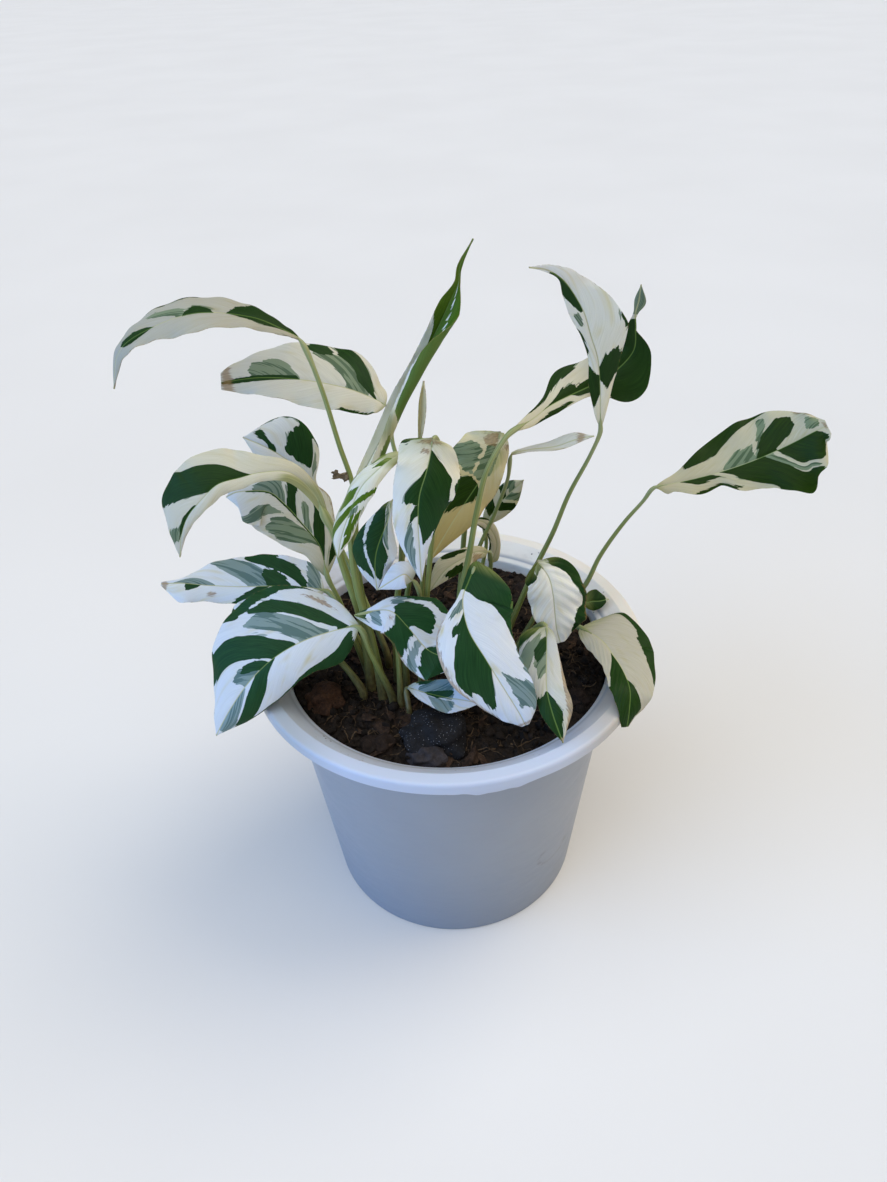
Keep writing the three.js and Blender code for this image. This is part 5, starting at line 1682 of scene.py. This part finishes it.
def pot_scuff(g, x, y, z, blur):
    """A rubbed mark in the shape of a horseshoe on the front of the wall, towards the right."""
    across = g.math("SUBTRACT", x, SCUFF_AT[0])
    upwards = g.math("SUBTRACT", z, SCUFF_AT[1])
    radius = g.math("SQRT", g.plus(g.times(across, across), g.times(upwards, upwards)))
    off_ring = g.math("ABSOLUTE", g.math("SUBTRACT", radius, SCUFF_RADIUS))
    open_above = g.step(g.plus(upwards, g.times(across, 0.5)), *SCUFF_OPENS)
    front = g.math("LESS_THAN", y, 0)
    return g.times(g.step(off_ring, *SCUFF_EDGE), g.step(blur, -0.6, 0.7), open_above, front)


def floor_material(name):
    """A pale matt floor."""
    g = Graph(name)
    return g.finish(g.tint("floor", g.noise(g.position(), scale=3, detail=2), -1, 1), 0.9)


# ---------------- the plant in its pot


def make_leaf(number, name, upper, under, stalk_skin):
    """A leaf's blade and stalk, as one piece or as two, like the solids they stand for."""
    leaf, marks = LEAVES[name], MARKS[name]
    slot = LEAF_SLOTS.get(name, "leaf")
    blade = Shape()
    add_blade(blade, leaf, marks, number)
    if leaf.get("joined"):
        add_stalk(blade, leaf, 2, number)
        whole = blade.build(f"calathea_{name}", [upper, under, stalk_skin])
        dress(whole, slot, f"leaf_{name}")
        return
    dress(blade.build(f"calathea_{name}_blade", [upper, under]), slot, f"leaf_{name}_blade")
    stalk = Shape()
    add_stalk(stalk, leaf, 0, number)
    dress(stalk.build(f"calathea_{name}_stalk", [stalk_skin]), "stalk", f"leaf_{name}_stalk")


def make_plant():
    """All pieces of the object."""
    skins = (
        leaf_material("leaf_upper", False),
        leaf_material("leaf_under", True),
        stalk_material("stalk_skin"),
    )
    for number, name in enumerate(LEAVES, start=1):
        make_leaf(number, name, *skins)
    plastic = pot_material("white_plastic")
    make_pot(plastic)
    make_burr(plastic)
    make_soil(
        soil_material("potting_soil", specks=0.5),
        soil_material("grey_clod", 0.8, specks=-0.3),
        soil_material("purple_clod", 0.6),
        soil_material("red_clod", 0.9),
        soil_material("brown_clod", 0.9),
    )
    make_scrap(soil_material("dry_scrap", 0.6))
    make_chips(soil_material("bark", 0.7))
    make_fibres(soil_material("fibre"))


# ---------------- floor, light and camera


def make_floor():
    """A wide plane under the pot."""
    shape = Shape()
    corners = ((-1, -1, 0), (1, -1, 0), (1, 1, 0), (-1, 1, 0))
    shape.add(np.array(corners) * FLOOR_REACH, [[0, 1, 2, 3]])
    shape.build("floor", [floor_material("pale_floor")])


def make_sun(name, towards, strength, colour, softness):
    """A soft far light that shines along towards."""
    light = bpy.data.lights.new(name, "SUN")
    light.energy = strength
    light.color = colour
    light.angle = math.radians(softness)
    obj = bpy.data.objects.new(name, light)
    obj.rotation_euler = Vector(towards).to_track_quat("-Z", "Y").to_euler()
    bpy.context.scene.collection.objects.link(obj)


def make_sky(colour, strength):
    """Even light from all sides."""
    world = bpy.data.worlds.new("studio")
    world.use_nodes = True
    back = world.node_tree.nodes["Background"]
    back.inputs["Color"].default_value = (*colour, 1)
    back.inputs["Strength"].default_value = strength
    bpy.context.scene.world = world


def make_camera():
    """A camera that looks at the plant from the front and above, a little rolled."""
    down = math.radians(LOOKING_DOWN)
    roll = math.radians(ROLL)
    back = Vector((0, -math.cos(down), math.sin(down)))
    right = Vector((1, 0, 0))
    up = back.cross(right)
    across = math.cos(roll) * right + math.sin(roll) * up
    upward = -math.sin(roll) * right + math.cos(roll) * up
    eye = (TARGET_ACROSS * across + TARGET_UP * upward + CAMERA_DISTANCE * back) * MM
    camera = bpy.data.cameras.new("photo_view")
    camera.sensor_fit = "AUTO"
    camera.sensor_width = SENSOR
    camera.lens = FOCAL_PIXELS / max(PICTURE) * SENSOR
    camera.clip_start = 0.01
    obj = bpy.data.objects.new("photo_view", camera)
    turn = Matrix((across, upward, back)).transposed().to_4x4()
    obj.matrix_world = Matrix.Translation(eye) @ turn
    bpy.context.scene.collection.objects.link(obj)
    bpy.context.scene.camera = obj


make_plant()
make_floor()
make_sky(*SKY)
for light_name, light in LIGHTS.items():
    make_sun(light_name, *light)
make_camera()
bpy.context.scene.view_settings.view_transform = "Standard"
